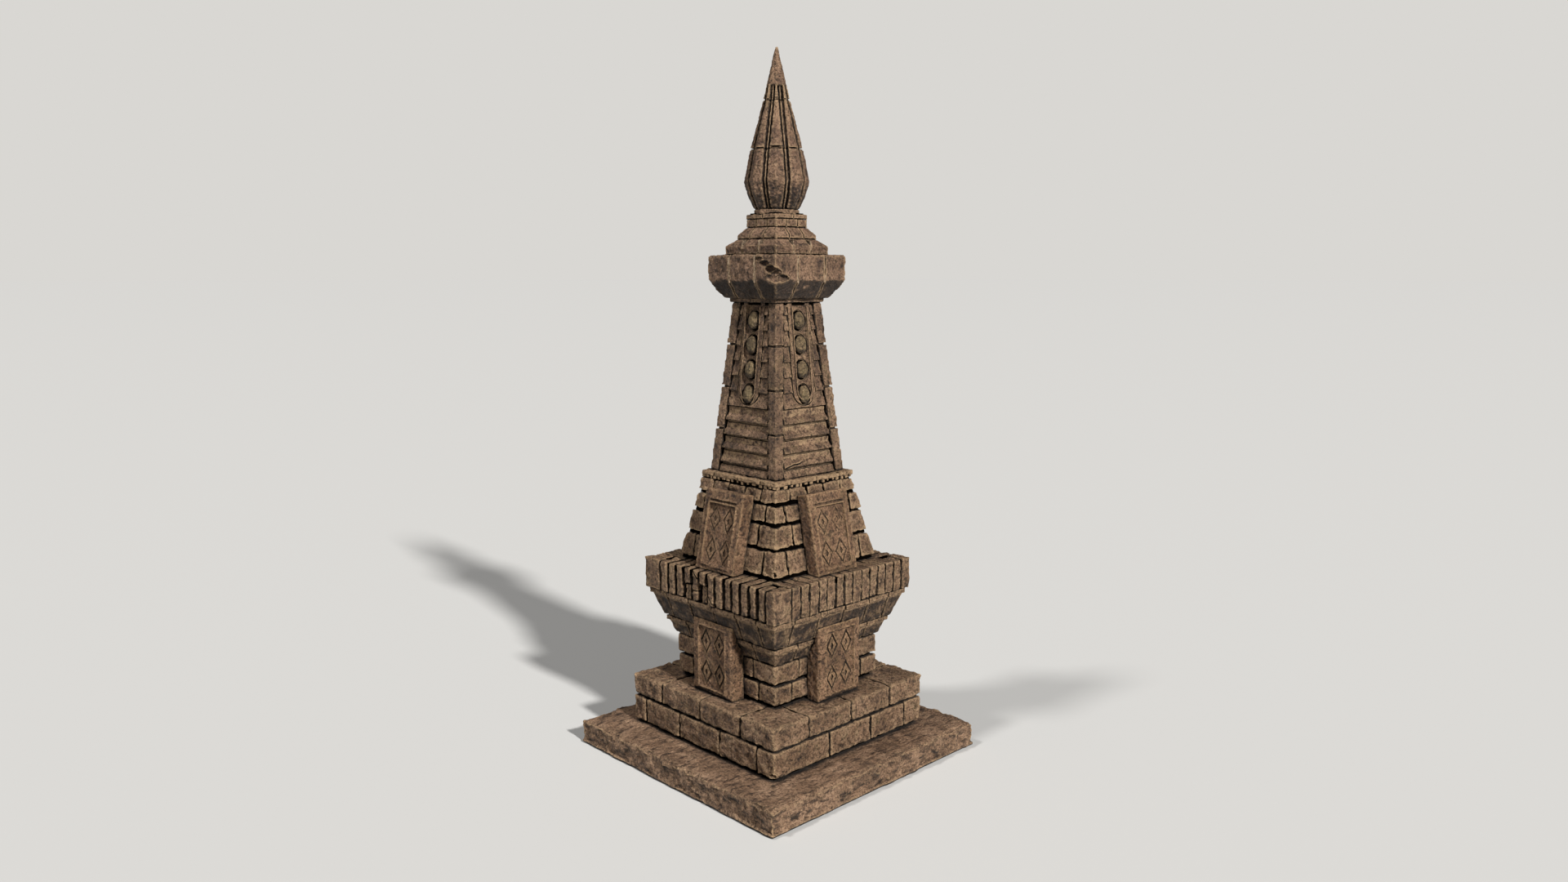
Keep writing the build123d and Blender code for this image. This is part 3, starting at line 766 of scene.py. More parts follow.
@dataclass
class Masonry:
    """Plinth, pedestal, corbel, battered base and string course, stone by stone."""

    batter_joints: Sequence[Sequence[float]] = (
        (-0.43, -0.15, 0.15, 0.43), (-0.33, -0.1, 0.1, 0.33),
        (-0.38, -0.15, 0.15, 0.38), (-0.3, -0.1, 0.1, 0.3),
    )
    corner_breaks: Sequence[Hollow] = (
        ((0.6, -0.61, 1.775), (0.05, 0.05, 0.035)), ((0.545, -0.62, 1.87), (0.022, 0.035, 0.06)),
        ((0.6, -0.56, 1.9), (0.03, 0.05, 0.02)),
    )

    def build(self) -> None:
        """Lay every course."""
        self.lay_plinth()
        self.lay_pedestal()
        self.lay_corbel()
        self.lay_batter()

    def lay_plinth(self) -> None:
        """Two courses of squared blocks in running bond."""
        Course(
            "plinth_lower_course", "plinth_lower_stones", BLOCK_STONE, (-0.73, -0.27, 0.25, 0.70),
            (-0.26, 0.245, 0.68), bed=24 * MM, worn=14 * MM, cuts=(18, 18, 10), seed=3,
            breaks=(((0.89, -0.9, 0.265), (0.045, 0.03, 0.03)),),
        ).build()
        Course(
            "plinth_upper_course", "plinth_upper_stones", BLOCK_STONE, (-0.51, 0.0, 0.50),
            (-0.5, 0.0, 0.49), depth=0.45, bed=13 * MM, worn=18 * MM, cuts=(20, 20, 9), seed=4,
        ).build()

    def lay_pedestal(self) -> None:
        """Two courses of rounded stones over deep bed joints."""
        rough = ((0.1, 0.022), (0.035, 0.016))
        shared = {"worn": 13 * MM, "uneven": 6 * MM, "cuts": (13, 13, 7), "roughness": rough}
        Course(
            "pedestal_lower_course", "pedestal_lower_stones", BLOCK_STONE, (-0.42, 0.0, 0.42),
            (-0.42, 0.0, 0.42), bed=30 * MM, seed=5, **shared,
        ).build()
        Course(
            "pedestal_upper_course", "pedestal_upper_stones", BLOCK_STONE, (-0.34, 0.1, 0.36),
            (-0.34, 0.05, 0.34), bed=24 * MM, seed=6, **shared,
        ).build()

    def lay_corbel(self) -> None:
        """Two flared courses, each with an upright lip along its top."""
        joints = {"lower": (-0.42, -0.14, 0.14, 0.42), "upper": (-0.56, -0.265, 0.035, 0.325, 0.58)}
        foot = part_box("pedestal_upper_course")[1].x
        for seed, (tier, places) in enumerate(joints.items(), start=7):
            self.flare(f"corbel_{tier}_course", f"corbel_{tier}_stones", foot, places, seed)
            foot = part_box(f"corbel_{tier}_course")[1].x

    def flare(self, node: str, name: str, foot: float, joints: Sequence[float], seed: int) -> None:
        """Lay a flared course: hollow-faced stones under a lip.

        Args:
            node: The CAD node.
            name: The piece's name.
            foot: Distance of its foot from the middle.
            joints: Joints of each side.
            seed: Picks its unevenness.
        """
        low_corner, high_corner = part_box(node)
        low, lip, high = low_corner.z + 10 * MM, high_corner.z - 40 * MM, high_corner.z
        foot, splay, head = foot + 10 * MM, high_corner.x - 24 * MM, high_corner.x - 8 * MM
        dice = random.Random(seed)
        mason = Course(node, name, CORNICE_STONE, joints, joints, gap=12 * MM, depth=0.16)
        piece = start_piece(name)
        for side in range(4):
            for start, end in [*zip(joints, joints[1:]), (joints[-1], None)]:
                out = dice.uniform(0, 5 * MM)
                across = joints[0] if end is None else None
                mason.lay(side, start, end, foot - out, splay - out, low, lip, across)
                mason.lay(side, start, end, head - 2 * MM - out, head - out, lip - 4 * MM, high, across)
        round_and_cut(8 * MM, (12, 12, 6))
        roughen(piece, ((0.07, 0.02), (0.03, 0.014)))
        dress(piece, CORNICE_STONE, (node,))

    def lay_batter(self) -> None:
        """Four leaning courses of rounded rough stones, then the string course."""
        halves = [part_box(f"batter_course_{number}")[1].x for number in range(1, 5)]
        halves.append(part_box("string_course")[1].x - 6 * MM)
        rough = ((0.12, 0.03), (0.05, 0.026), (0.024, 0.012))
        for number, joints in enumerate(self.batter_joints, start=1):
            breaks = self.corner_breaks if number == 1 else ()
            Course(
                f"batter_course_{number}", f"batter_stones_{number}", BLOCK_STONE, joints, joints,
                head_half=halves[number] + 4 * MM, gap=10 * MM, bed=25 * MM, worn=10 * MM, uneven=8 * MM,
                cuts=(13, 13, 8), roughness=rough, seed=20 + number, breaks=breaks,
                lift=-24 * MM if number == 4 else 0.0,
            ).build()
        Course(
            "string_course", "string_stones", BLOCK_STONE, (-0.3, 0.0, 0.28), (-0.28, 0.02, 0.3),
            gap=5 * MM, bed=0, worn=10 * MM, uneven=5 * MM, cuts=(20, 20, 3),
            roughness=((0.05, 0.022), (0.02, 0.012)), seed=30,
        ).build()
        self.hang_drips()

    def hang_drips(self) -> None:
        """Ragged remains of mortar along the underside of the string course."""
        low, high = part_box("string_course")
        half = high.x - 6 * MM
        dice = random.Random(31)
        piece = start_piece("string_drips")
        for side in range(4):
            place = -half + 20 * MM
            while place < half - 30 * MM:
                width = dice.uniform(16, 44) * MM
                rect = turn_rect((place, place + width, -half, -half + 50 * MM), side)
                add_block(rect, rect, low.z - dice.uniform(14, 26) * MM, low.z + 4 * MM)
                place += width + dice.uniform(12, 46) * MM
        round_and_cut(5 * MM, (2, 2, 2))
        roughen(piece, ((0.03, 0.008),))
        dress(piece, BLOCK_STONE)


@dataclass
class Cornice:
    """Upright stones side by side, each rounded, uneven at its foot and returning over the top."""

    stones: int = 16
    width_shares: Sequence[float] = (0.68, 0.85, 0.68, 0.85)
    worn: float = 11 * MM
    # Number of each broken rib of the front, with the rise and recess of the stub that it leaves
    broken: Sequence[tuple[int, float, float]] = ((5, 0.14, 0.03), (6, 0.1, 0.012), (7, 0.16, 0.034))

    def build(self) -> None:
        """Model the ribs of the four sides and the corner ribs."""
        low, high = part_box("cornice")
        half = high.x
        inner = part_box("batter_course_1")[1].x
        pitch = 2 * half / self.stones
        dice = random.Random(40)
        for side, side_name in enumerate(SIDES):
            piece = start_piece(f"cornice_{side_name}")
            for rib in range(2, self.stones - 1):
                place = (rib + 0.5 - self.stones / 2) * pitch + dice.uniform(-4, 4) * MM
                reach = max(inner - 50 * MM, abs(place)) - 4 * MM
                self.add_rib(dice, side, rib, place, reach)
            corner = turn_rect((half - pitch * 0.92, half, -half, -half + pitch * 1.9), side)
            add_block(corner, corner, low.z + 4 * MM, high.z)
            round_and_cut(self.worn, (4, 4, 15))
            roughen(piece, ((0.08, 0.02), (0.035, 0.016), (0.018, 0.008)))
            if side == 0:
                cut_crack(piece, (-0.2, -half, high.z), (0.12, -half, low.z), (0, -1, 0), 15 * MM, 40 * MM)
            dress(piece, CORNICE_STONE, ("cornice",) if side == 0 else ())

    def add_rib(self, dice: random.Random, side: int, rib: int, place: float, reach: float) -> None:
        """Add one upright stone, with its stub where it is broken.

        Args:
            dice: Source of its unevenness.
            side: Side number.
            rib: Its number along the side.
            place: Where its middle stands along the side.
            reach: How far from the middle of the monument it ends.
        """
        low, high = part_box("cornice")
        width = 2 * high.x / self.stones * (self.width_shares[side] + dice.uniform(-0.06, 0.08))
        face = -high.x + dice.uniform(0, 12) * MM
        foot_level = low.z + dice.uniform(0, 14) * MM
        foot_face = face + dice.uniform(0, 10) * MM
        for number, rise, recess in self.broken:
            if side == 0 and rib == number:
                stub = turn_rect((place - width * 0.5, place + width * 0.46, -high.x + recess, -reach), side)
                add_block(stub, stub, foot_level, low.z + rise - 8 * MM)
                foot_level = low.z + rise
        feet = turn_rect((place - width / 2, place + width / 2, foot_face, -reach), side)
        heads = turn_rect((place - width / 2, place + width / 2, face, -reach), side)
        add_block(feet, heads, foot_level, high.z - dice.uniform(0, 5) * MM)


@dataclass
class Tablets:
    """Eight slabs with a beaded field and a carved ornament of lozenges."""

    grid_mm: float = 7.5
    rows: int = 2
    columns: int = 2
    recess: float = 14 * MM
    bead: float = 12 * MM
    bead_depth: float = 16 * MM
    ring_share: float = 0.36
    heart_share: float = 0.12

    def build(self) -> None:
        """Weather and carve every tablet."""
        for tier in ("lower", "upper"):
            for side, side_name in enumerate(SIDES):
                self.carve(tier, side, side_name)

    def carve(self, tier: str, side: int, side_name: str) -> None:
        """Make one tablet.

        Args:
            tier: lower or upper.
            side: Side number, anticlockwise from the front.
            side_name: Side name.
        """
        node = f"{tier}_tablet_{side_name}"
        piece = copy_node(node, f"{tier}_tablet_slab_{side_name}")
        bpy.ops.object.mode_set(mode="EDIT")
        hinge, field = self.find_field(tier, side)
        self.add_bead(piece, hinge, field)
        apply_modifier(piece, "REMESH", mode="VOXEL", voxel_size=self.grid_mm * MM)
        self.cut_ornament(piece, hinge, field)
        layers = ((0.07, 0.012), (0.024, 0.008))
        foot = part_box(node)[0].z + 4 * MM
        roughen(piece, layers, lambda point: point.z > foot)
        dress(piece, TABLET_STONE, (node,))

    def find_field(self, tier: str, side: int) -> tuple[Matrix, tuple[float, float, float]]:
        """Find where a tablet's sunk field lies.

        Args:
            tier: lower or upper.
            side: Side number.

        Returns:
            The frame of the tablet's face, Z up along it and Y into it, and the field's width, foot and head.
        """
        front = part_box(f"{tier}_tablet_front")
        lean, face, borders = 0.0, front[0].y + 5 * MM, (0.082, 0.046, 0.046)
        if tier == "upper":
            first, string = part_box("batter_course_1"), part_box("string_course")
            lean = math.atan2(first[1].x - (string[1].x - 6 * MM), string[0].z - first[0].z)
            face, borders = front[0].y, (0.066, 0.04, 0.11)
        length = (front[1].z - front[0].z) / math.cos(lean)
        hinge = side_turn(side) @ Matrix.Translation((0, face, front[0].z))
        width = front[1].x - front[0].x - 2 * borders[0]
        return hinge @ Matrix.Rotation(-lean, 4, "X"), (width, borders[1], length - borders[2])

    def add_bead(self, piece: Piece, hinge: Matrix, field: tuple[float, float, float]) -> None:
        """Add the bead round the field to the open mesh.

        Args:
            piece: The open tablet.
            hinge: Frame of its face.
            field: Width, foot and head of the field.
        """
        width, foot, head = field
        for way, level in ((-1, foot), (1, head)):
            tall = (self.bead, self.bead_depth, head - foot + self.bead)
            upright = Vector((way * width / 2, 0, (foot + head) / 2)), tall
            cross = Vector((0, 0, level)), (width, self.bead_depth, self.bead)
            for spot, size in (upright, cross):
                bpy.ops.mesh.primitive_cube_add(size=1, location=(0, 0, 0))
                place_added(piece, hinge @ Matrix.Translation(spot) @ Matrix.Diagonal((*size, 1)))

    def cut_ornament(self, piece: Piece, hinge: Matrix, field: tuple[float, float, float]) -> None:
        """Cut lozenge-shaped grooves round small sunk lozenges into the field.

        Args:
            piece: The tablet.
            hinge: Frame of its face.
            field: Width, foot and head of the field.
        """
        width, foot, head = field
        pitch_x, pitch_z = width / self.columns, (head - foot) / self.rows
        cutter = start_piece("ornament_cutter")
        for row in range(self.rows):
            for column in range(self.columns):
                across = (column + 0.5 - self.columns / 2) * pitch_x
                spot = (across, self.recess, foot + (row + 0.5) * pitch_z)
                stand = hinge @ Matrix.Translation(spot) @ Matrix.Rotation(math.radians(90), 4, "X")
                bpy.ops.mesh.primitive_torus_add(
                    major_segments=4, minor_segments=8, major_radius=1, minor_radius=0.17, location=(0, 0, 0)
                )
                ring = (pitch_x * self.ring_share, pitch_z * self.ring_share, 75 * MM, 1)
                place_added(cutter, stand @ Matrix.Diagonal(ring))
                bpy.ops.mesh.primitive_cone_add(
                    vertices=4, radius1=1, radius2=1, depth=2, location=(0, 0, 0), end_fill_type="NGON"
                )
                heart = (pitch_x * self.heart_share, pitch_z * self.heart_share, 12 * MM, 1)
                place_added(cutter, stand @ Matrix.Diagonal(heart))
        subtract(piece, cutter)


@dataclass
class Shaft:
    """Corner posts, slats and carved panels, each worn from its solid."""

    layers: Layers = ((0.06, 0.009), (0.02, 0.006))
    fall: float = 0.143
    boss_hollow: float = 1.3
    frame_foot: float = 0.152
    ridge_radius: float = 0.086
    groove_radius: float = 0.131
    line_width: float = 10 * MM
    boss_levels: Sequence[float] = (3.78, 3.58, 3.375, 3.17)
    boss_size: Sequence[float] = (0.061, 0.037, 0.073)
    panel_share: float = 0.962
    boards: int = 7
    board_pitch: float = 0.1279
    slope: float = 0.0996
    first_slat: float = 0.082
    slat_pitch: float = 0.1205

    def build(self) -> None:
        """Weather the shaft's stones."""
        for side, side_name in enumerate(SIDES):
            for kind, grid_mm in (("slat_panel", 8.5), ("carved_panel", 7.5)):
                node = f"{kind}_{side_name}"
                piece = weather_copy(node, f"{kind}_stone_{side_name}", grid_mm)
                narrow = (self.panel_share, 1, 1, 1) if side % 2 == 0 else (1, self.panel_share, 1, 1)
                piece.data.transform(Matrix.Diagonal(narrow))
                if kind == "carved_panel":
                    self.undercut_boards(piece, side)
                    self.sink_face(piece, side)
                else:
                    self.undercut_slats(piece, side)
                roughen(piece, self.layers)
                if node == "slat_panel_right":
                    cut_crack(piece, (0.405, -0.3, 2.575), (0.385, 0.25, 2.672), (1, 0, 0), 13 * MM, 26 * MM)
                if node == "carved_panel_right":
                    chip(piece, (0.345, 0.0, 3.155), (0.03, 0.06, 0.02), 61)
                dress(piece, SHAFT_STONE, (node,))
        self.add_bosses()
        self.add_frame_ridge()
        for turn, corner in enumerate(("front_right", "back_right", "back_left", "front_left")):
            piece = weather_copy(f"corner_post_{corner}", f"corner_post_stone_{corner}", 9.5)
            self.cut_post_joints(piece, turn)
            roughen(piece, ((0.08, 0.014), (0.022, 0.008)))
            dress(piece, SHAFT_STONE, (f"corner_post_{corner}",))
        for node, grid_mm in (("shaft_core", 30.0), ("shaft_neck", 10.0)):
            piece = weather_copy(node, f"{node}_stone", grid_mm)
            roughen(piece, self.layers)
            # The shaft core, seen in the gaps between its stones, is painted near black as shade
            dress(piece, SHAFT_STONE if node == "shaft_neck" else JOINT_SHADE_MORTAR, (node,))

    def half_at(self, level: float) -> float:
        """Half the width of the shaft over its posts.

        Args:
            level: Where it is measured.

        Returns:
            Half the width.
        """
        low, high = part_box("corner_post_front_right")
        return high.x - (level - low.z) * self.slope

    def undercut_slats(self, piece: Piece, side: int) -> None:
        """Deepen the shadow line under each slat.

        Args:
            piece: The slat panel.
            side: Its side number.
        """
        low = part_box("slat_panel_front")[0]
        slots = []
        for row in range(4):
            level = low.z + self.first_slat + row * self.slat_pitch
            face = -self.half_at(level)
            rect = turn_rect((-0.4, 0.4, face - 20 * MM, face + 33 * MM), side)
            slots.append((rect, level - 21 * MM, level))
        cut_slots(piece, slots)

    def cut_post_joints(self, piece: Piece, turn: int) -> None:
        """Open the joints between the blocks of a corner post.

        Args:
            piece: The corner post.
            turn: Quarter turns from the front right corner.
        """
        low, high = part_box("corner_post_front_right")
        slots = []
        for joint in range(1, 4):
            level = low.z + joint * (high.z - low.z) / 4
            half = self.half_at(level)
            edge, face = half - 0.12, half - 19 * MM
            for rect in ((edge, half + 0.02, -half - 0.02, -face), (face, half + 0.02, -half - 0.02, -edge)):
                slots.append((turn_rect(rect, turn), level - 2 * MM, level + 17 * MM))
        cut_slots(piece, slots[0::2])
        cut_slots(piece, slots[1::2])

    def add_frame_ridge(self) -> None:
        """Model the raised line along the inner edge of the U-shaped frame and stand it on each face."""
        for side, side_name in enumerate(SIDES):
            piece = start_piece(f"frame_ridge_{side_name}")
            self.trace_frame(piece, side, self.ridge_radius, 16 * MM)
            apply_modifier(piece, "REMESH", mode="VOXEL", voxel_size=4.5 * MM)
            roughen(piece, ((0.03, 0.006),))
            dress(piece, SHAFT_STONE)

    def undercut_boards(self, piece: Piece, side: int) -> None:
        """Deepen the shadow line under each side board of a carved panel.

        Args:
            piece: The carved panel.
            side: Its side number.
        """
        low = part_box("carved_panel_front")[0]
        slots = []
        for row in range(1, self.boards):
            level = low.z + row * self.board_pitch
            face = low.y + (level - low.z) * self.slope
            for left in (-0.3, 0.133):
                rect = (left, left + 0.167, face - 20 * MM, face + 22 * MM)
                slots.append((turn_rect(rect, side), level - 9 * MM, level + 3 * MM))
        cut_slots(piece, slots)

    def place_boss(self, side: int, level: float, grow: float = 1.0) -> Matrix:
        """Find where a boss stands.

        Args:
            side: Side number.
            level: Height of its middle.
            grow: Share by which it is widened.

        Returns:
            The matrix that places a unit sphere there.
        """
        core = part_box("shaft_core")
        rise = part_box("carved_panel_front")[1].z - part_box("corner_post_front_right")[0].z
        lean = Matrix.Rotation(-math.atan2(self.fall, rise), 4, "X")
        face = core[1].x - self.fall * (level - core[0].z) / (core[1].z - core[0].z) + 18 * MM
        width, depth, height = self.boss_size
        stand = side_turn(side) @ Matrix.Translation((0, -face, level))
        return stand @ lean @ Matrix.Diagonal((width * grow, depth, height * grow, 1))

    def trace_frame(self, piece: Piece, side: int, radius: float, depth: float) -> None:
        """Lay a row of short bars along the U-shaped frame into the open mesh.

        Args:
            piece: The open mesh.
            side: Side number.
            radius: Distance of the row from the middle of the face.
            depth: Depth of the bars.
        """
        low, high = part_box("carved_panel_front")
        foot, head = self.frame_foot, high.z - low.z - 0.03
        arc = [math.radians(180 + 180 * step / 10) for step in range(11)]
        points = [Vector((-radius, 0, head))]
        points += [Vector((radius * math.cos(angle), 0, foot + radius * math.sin(angle))) for angle in arc]
        points.append(Vector((radius, 0, head)))
        stand = side_turn(side) @ Matrix.Translation((0, low.y + 4 * MM, low.z))
        stand = stand @ Matrix.Rotation(-math.atan(self.slope), 4, "X")
        for start, end in zip(points, points[1:]):
            run = end - start
            turn = Matrix.Rotation(-math.atan2(run.z, run.x), 4, "Y")
            size = (run.length + self.line_width * 0.4, depth, self.line_width, 1)
            bpy.ops.mesh.primitive_cube_add(size=1, location=(0, 0, 0))
            spot = Matrix.Translation((start + end) / 2)
            place_added(piece, stand @ spot @ turn @ Matrix.Diagonal(size))

    def sink_face(self, piece: Piece, side: int) -> None:
        """Cut a hollow round each boss and the groove outside the frame.

        Args:
            piece: The carved panel.
            side: Its side number.
        """
        cutter = start_piece("hollow_cutter")
        for level in self.boss_levels:
            bpy.ops.mesh.primitive_uv_sphere_add(segments=32, ring_count=20, radius=1, location=(0, 0, 0))
            place_added(cutter, self.place_boss(side, level, self.boss_hollow))
        subtract(piece, cutter)
        cutter = start_piece("groove_cutter")
        self.trace_frame(cutter, side, self.groove_radius, 60 * MM)
        apply_modifier(cutter, "REMESH", mode="VOXEL", voxel_size=4 * MM)
        subtract(piece, cutter)

    def add_bosses(self) -> None:
        """Model one domed boss and stand a copy on each medallion."""
        deselect()
        bpy.ops.mesh.primitive_uv_sphere_add(segments=40, ring_count=28, radius=1, location=(0, 0, 0))
        pattern = bpy.context.object
        for side, side_name in enumerate(SIDES):
            parts = []
            for level in self.boss_levels:
                boss = bpy.data.objects.new("boss", pattern.data.copy())
                bpy.context.scene.collection.objects.link(boss)
                boss.data.transform(self.place_boss(side, level))
                parts.append(boss)
            make_active(parts[0])
            for boss in parts:
                boss.select_set(True)
            bpy.ops.object.join()
            piece = bpy.context.object
            piece.name = f"shaft_bosses_{side_name}"
            roughen(piece, ((0.04, 0.012), (0.018, 0.006)))
            dress(piece, BOSS_STONE)
        bpy.data.objects.remove(pattern)


@dataclass
class Head:
    """Capital, stepped roof and finial."""

    joint: float = 9 * MM
    past: float = 10 * MM
    capital_joints: Sequence[float] = (-0.15, 0.163)
    gash: Sequence[Hollow] = (
        ((0.21, -0.415, 4.285), (0.055, 0.024, 0.02)), ((0.28, -0.415, 4.25), (0.065, 0.035, 0.026)),
        ((0.345, -0.41, 4.205), (0.065, 0.05, 0.034)), ((0.39, -0.395, 4.16), (0.06, 0.065, 0.055)),
        ((0.41, -0.33, 4.13), (0.045, 0.075, 0.03)), ((0.4, -0.4, 4.06), (0.04, 0.04, 0.03)),
    )

    def build(self) -> None:
        """Weather the capital, the roof and the finial, and cut their joints."""
        self.build_capital()
        self.build_roof()
        self.build_finial()

    def joints_on_sides(self, node: str, places: Sequence[float], depth: float) -> list[Joint]:
        """Upright joints at the same places on all four sides of a node.

        Args:
            node: The CAD node.
            places: Where the joints stand along a side.
            depth: How far they reach inwards.

        Returns:
            Plans and levels for cut_slots.
        """
        low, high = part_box(node)
        slots = []
        for side in range(4):
            for place in places:
                rect = (place - self.joint / 2, place + self.joint / 2, -high.x - self.past, -high.x + depth)
                slots.append((turn_rect(rect, side), low.z - self.past, high.z + self.past))
        return slots

    def bed_on_sides(self, node: str) -> list[Joint]:
        """A level joint under all four sides of a node.

        Args:
            node: The CAD node.

        Returns:
            Plans and levels for cut_slots.
        """
        low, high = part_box(node)
        reach = high.x + self.past
        rect = (-reach, reach, -reach, -high.x + 16 * MM)
        return [(turn_rect(rect, side), low.z - self.past, low.z + self.joint) for side in range(4)]

    def build_capital(self) -> None:
        """Three blocks a side, with a piece broken out of the front corner."""
        piece = weather_copy("capital", "capital_stones", 12.0)
        cut_slots(piece, self.joints_on_sides("capital", self.capital_joints, 0.13))
        roughen(piece, ((0.12, 0.02), (0.04, 0.014), (0.02, 0.006)))
        for number, (middle, size) in enumerate(self.gash):
            chip(piece, middle, size, 51 + number)
        dress(piece, CAPITAL_STONE, ("capital",))
        self.point_joints("capital", self.capital_joints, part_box("capital")[0].z + 0.13, 24 * MM)

    def point_joints(self, node: str, places: Sequence[float], low: float, width: float) -> None:
        """Fill upright joints with rough pale mortar.

        Args:
            node: The CAD node.
            places: Where the joints stand along a side.
            low: Level of the mortar's foot.
            width: Its width.
        """
        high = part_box(node)[1]
        piece = start_piece(f"{node}_pointing")
        for side in range(4):
            for place in places:
                rect = (place - width / 2, place + width / 2, -high.x - 1 * MM, -high.x + 50 * MM)
                rect = turn_rect(rect, side)
                add_block(rect, rect, low, high.z - 4 * MM)
        round_and_cut(4 * MM, (3, 3, 12))
        roughen(piece, ((0.05, 0.03), (0.02, 0.014)), rest=0.58)
        dress(piece, POINTING)

    def build_roof(self) -> None:
        """Steps with their joints, neck and plate."""
        rough = ((0.05, 0.008), (0.02, 0.007))
        joints = {
            "roof_lower_step": (-0.1, 0.1), "roof_upper_step": (-0.08, 0.085), "roof_neck": (-0.06, 0.07),
            "roof_plate": (0.02,),
        }
        for node, places in joints.items():
            piece = weather_copy(node, f"{node}_stone", 8.0)
            cut_slots(piece, self.joints_on_sides(node, places, 0.07) + self.bed_on_sides(node))
            roughen(piece, rough)
            dress(piece, CAPITAL_STONE, (node,))
            if node == "roof_lower_step":
                self.point_joints(node, places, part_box(node)[0].z + 2 * MM, 15 * MM)

    def build_finial(self) -> None:
        """Base, bud, spire and tip."""
        for node in ("finial_base", "finial_bud", "finial_spire", "finial_tip"):
            piece = weather_copy(node, f"{node}_stone", 6.5)
            if node in ("finial_spire", "finial_tip"):
                self.cut_drum_joint(piece, node)
            roughen(piece, ((0.08, 0.01), (0.02, 0.007)))
            dress(piece, FINIAL_STONE, (node,))

    def cut_drum_joint(self, piece: Piece, node: str) -> None:
        """Deepen the joint under a drum of the finial, a little higher or lower on each gore.

        Args:
            piece: The drum.
            node: Its CAD node.
        """
        low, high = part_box(node)
        cutter = start_piece("joint_cutter")
        for gore in range(8):
            angle = gore * math.pi / 4
            level = low.z + (6 + 8 * (gore % 2)) * MM
            bpy.ops.mesh.primitive_cube_add(
                size=1, location=(high.x * math.cos(angle), high.x * math.sin(angle), level),
                rotation=(0, 0, angle), scale=(high.x * 0.26, high.x * 0.74, 14 * MM),
            )
        subtract(piece, cutter)


@dataclass
class MortarCore:
    """Mortar behind the stones, painted near black as the shade deep in the joints, so that the joints are
    deep and closed.
    """

    recess: float = 45 * MM
    batter_recess: float = 19 * MM
    batter_lean: float = 0.2

    def build(self) -> None:
        """Stack the core of every tier."""
        piece = start_piece("mortar_core")
        levels = (
            "plinth_lower_course", "plinth_upper_course", "pedestal_lower_course", "pedestal_upper_course",
            "batter_course_1", "batter_course_2", "batter_course_3", "batter_course_4", "string_course",
        )
        for node in levels:
            low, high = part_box(node)
            half = high.x - self.recess
            head = half
            if node.startswith("batter"):
                half = high.x - self.batter_recess
                head = half - (high.z - low.z) * self.batter_lean
            add_square(half, head, low.z, high.z - 16 * MM)
        self.add_flare("corbel_lower_course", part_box("pedestal_upper_course")[1].x)
        self.add_flare("corbel_upper_course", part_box("corbel_lower_course")[1].x)
        low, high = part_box("cornice")
        for recess, foot, head in ((60 * MM, low.z + 2 * MM, 60 * MM), (22 * MM, high.z - 62 * MM, 15 * MM)):
            add_square(high.x - recess, high.x - recess, foot, high.z - head)
        for node in ("shaft_neck", "roof_lower_step", "roof_upper_step", "roof_neck", "roof_plate"):
            low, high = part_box(node)
            half = high.x - (110 * MM if node.endswith("step") else 26 * MM)
            add_square(half, half, low.z - 20 * MM, high.z + 10 * MM)
        dress(piece, JOINT_SHADE_MORTAR)

    def add_flare(self, node: str, foot: float) -> None:
        """Add the core of a corbel course.

        Args:
            node: The CAD node.
            foot: Distance of its foot from the middle.
        """
        low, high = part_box(node)
        foot -= self.recess
        head = high.x - self.recess - 20 * MM
        add_square(foot, head, low.z, high.z - 10 * MM)


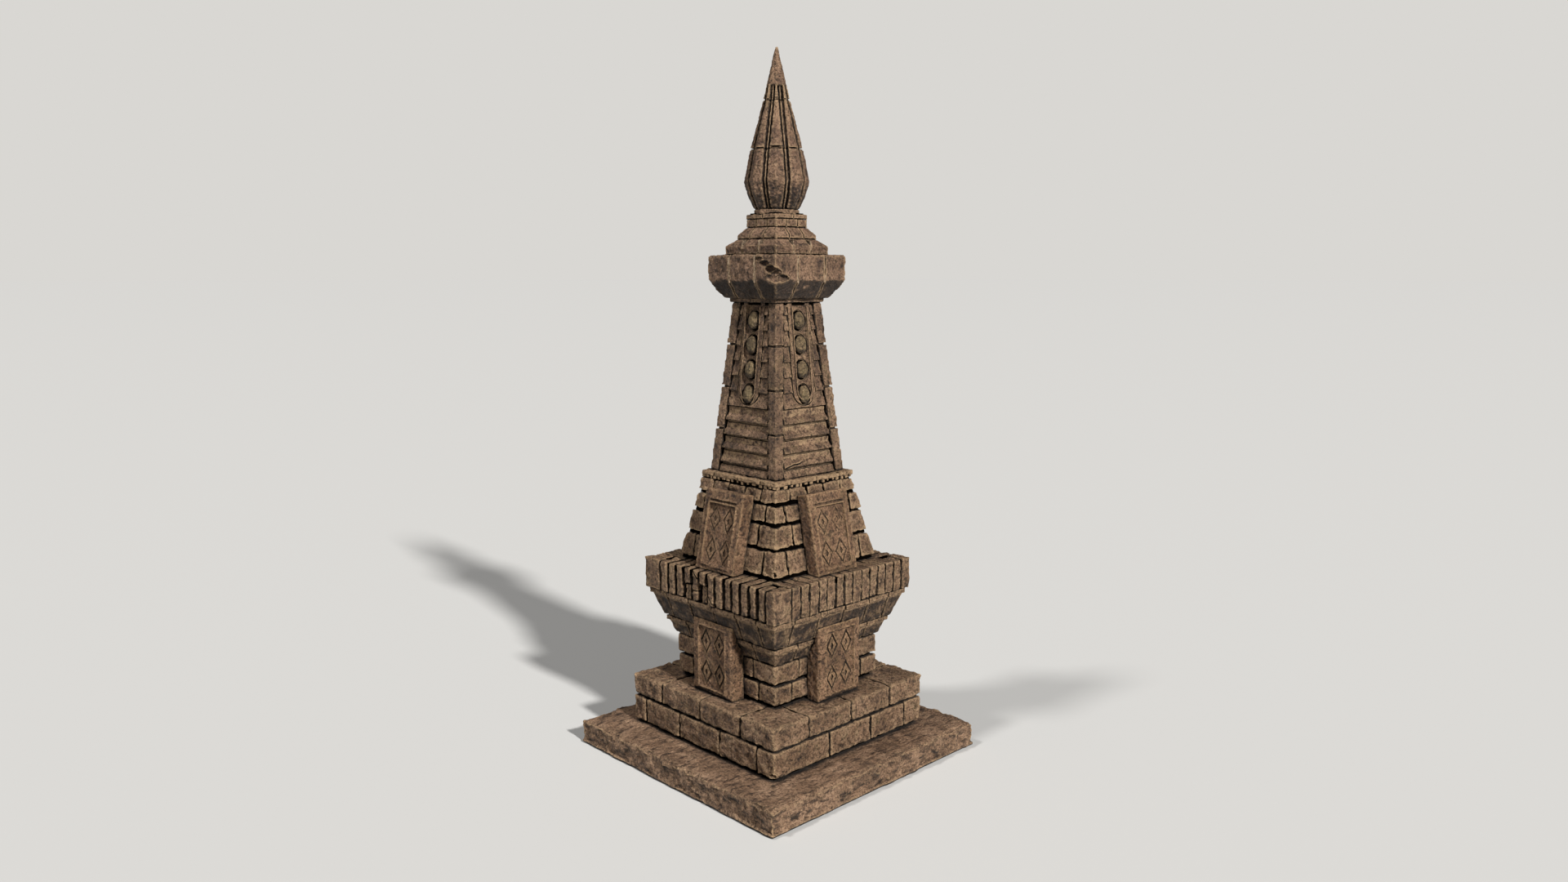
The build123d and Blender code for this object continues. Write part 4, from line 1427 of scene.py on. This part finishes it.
@dataclass
class Stage:
    """Pale floor, soft light and the photograph's camera."""

    eye: Sequence[float] = (6.909, -6.619, 4.157)
    look: Sequence[float] = (-0.70996, 0.68887, -0.14634)
    lens_mm: float = 25.80
    sensor_mm: float = 36.0
    floor_half: float = 900.0
    floor_colour: str = "#c9c7c3"
    backdrop: str = "#d9d7d3"
    surround: str = "#e6e9ee"
    surround_strength: float = 0.12
    # Name, strength, width in degrees and aim of each lamp
    lamps: Sequence[tuple[str, float, float, Sequence[float]]] = (
        ("key", 4.7, 4, (-0.86, 0.12, -0.52)), ("fill", 1.35, 6, (0.2, 0.6, -0.92)),
    )

    def build(self) -> None:
        """Set up floor, lights and camera."""
        scene = bpy.context.scene
        scene.view_settings.view_transform = "Standard"
        self.lay_floor()
        self.light(scene)
        camera = bpy.data.cameras.new("camera")
        camera.lens = self.lens_mm
        camera.sensor_width = self.sensor_mm
        camera.clip_end = 2 * self.floor_half
        stand = bpy.data.objects.new("camera", camera)
        stand.location = self.eye
        stand.rotation_mode = "QUATERNION"
        stand.rotation_quaternion = Vector(self.look).to_track_quat("-Z", "Y")
        scene.collection.objects.link(stand)
        scene.camera = stand

    def lay_floor(self) -> None:
        """A pale matt floor."""
        deselect()
        bpy.ops.mesh.primitive_plane_add(size=2 * self.floor_half, location=(0, 0, 0))
        floor = bpy.context.object
        floor.name = "floor"
        made, tree = start_material("pale_matt_floor")
        shader = add_node(tree, "BsdfPrincipled", Base_Color=self.floor_colour, Roughness=0.95)
        add_node(tree, "OutputMaterial", Surface=shader)
        floor.data.materials.append(made)

    def light(self, scene: bpy.types.Scene) -> None:
        """A soft key from the right, a steep fill from the front and an even pale surround.

        Args:
            scene: The scene.
        """
        for name, energy, angle, aim in self.lamps:
            lamp = bpy.data.lights.new(name, "SUN")
            lamp.energy = energy
            lamp.angle = math.radians(angle)
            light = bpy.data.objects.new(name, lamp)
            light.rotation_mode = "QUATERNION"
            light.rotation_quaternion = Vector(aim).to_track_quat("-Z", "Y")
            scene.collection.objects.link(light)
        world = bpy.data.worlds.new("studio")
        scene.world = world
        world.use_nodes = True
        tree = world.node_tree
        tree.nodes.clear()
        backdrop = add_node(tree, "Background", Color=self.backdrop, Strength=1.0)
        surround = add_node(tree, "Background", Color=self.surround, Strength=self.surround_strength)
        seen = add_node(tree, "LightPath").outputs["Is Camera Ray"]
        shown = add_node(tree, "MixShader", Fac=seen, i1=surround, i2=backdrop)
        add_node(tree, "OutputWorld", Surface=shown)


def main() -> None:
    """Build the obelisk in order."""
    logging.basicConfig(level=logging.INFO, format="%(message)s")
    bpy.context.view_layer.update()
    Stage().build()
    GroundSlab().build()
    Masonry().build()
    MortarCore().build()
    Cornice().build()
    Tablets().build()
    Shaft().build()
    Head().build()


if __name__ == "__main__":
    main()
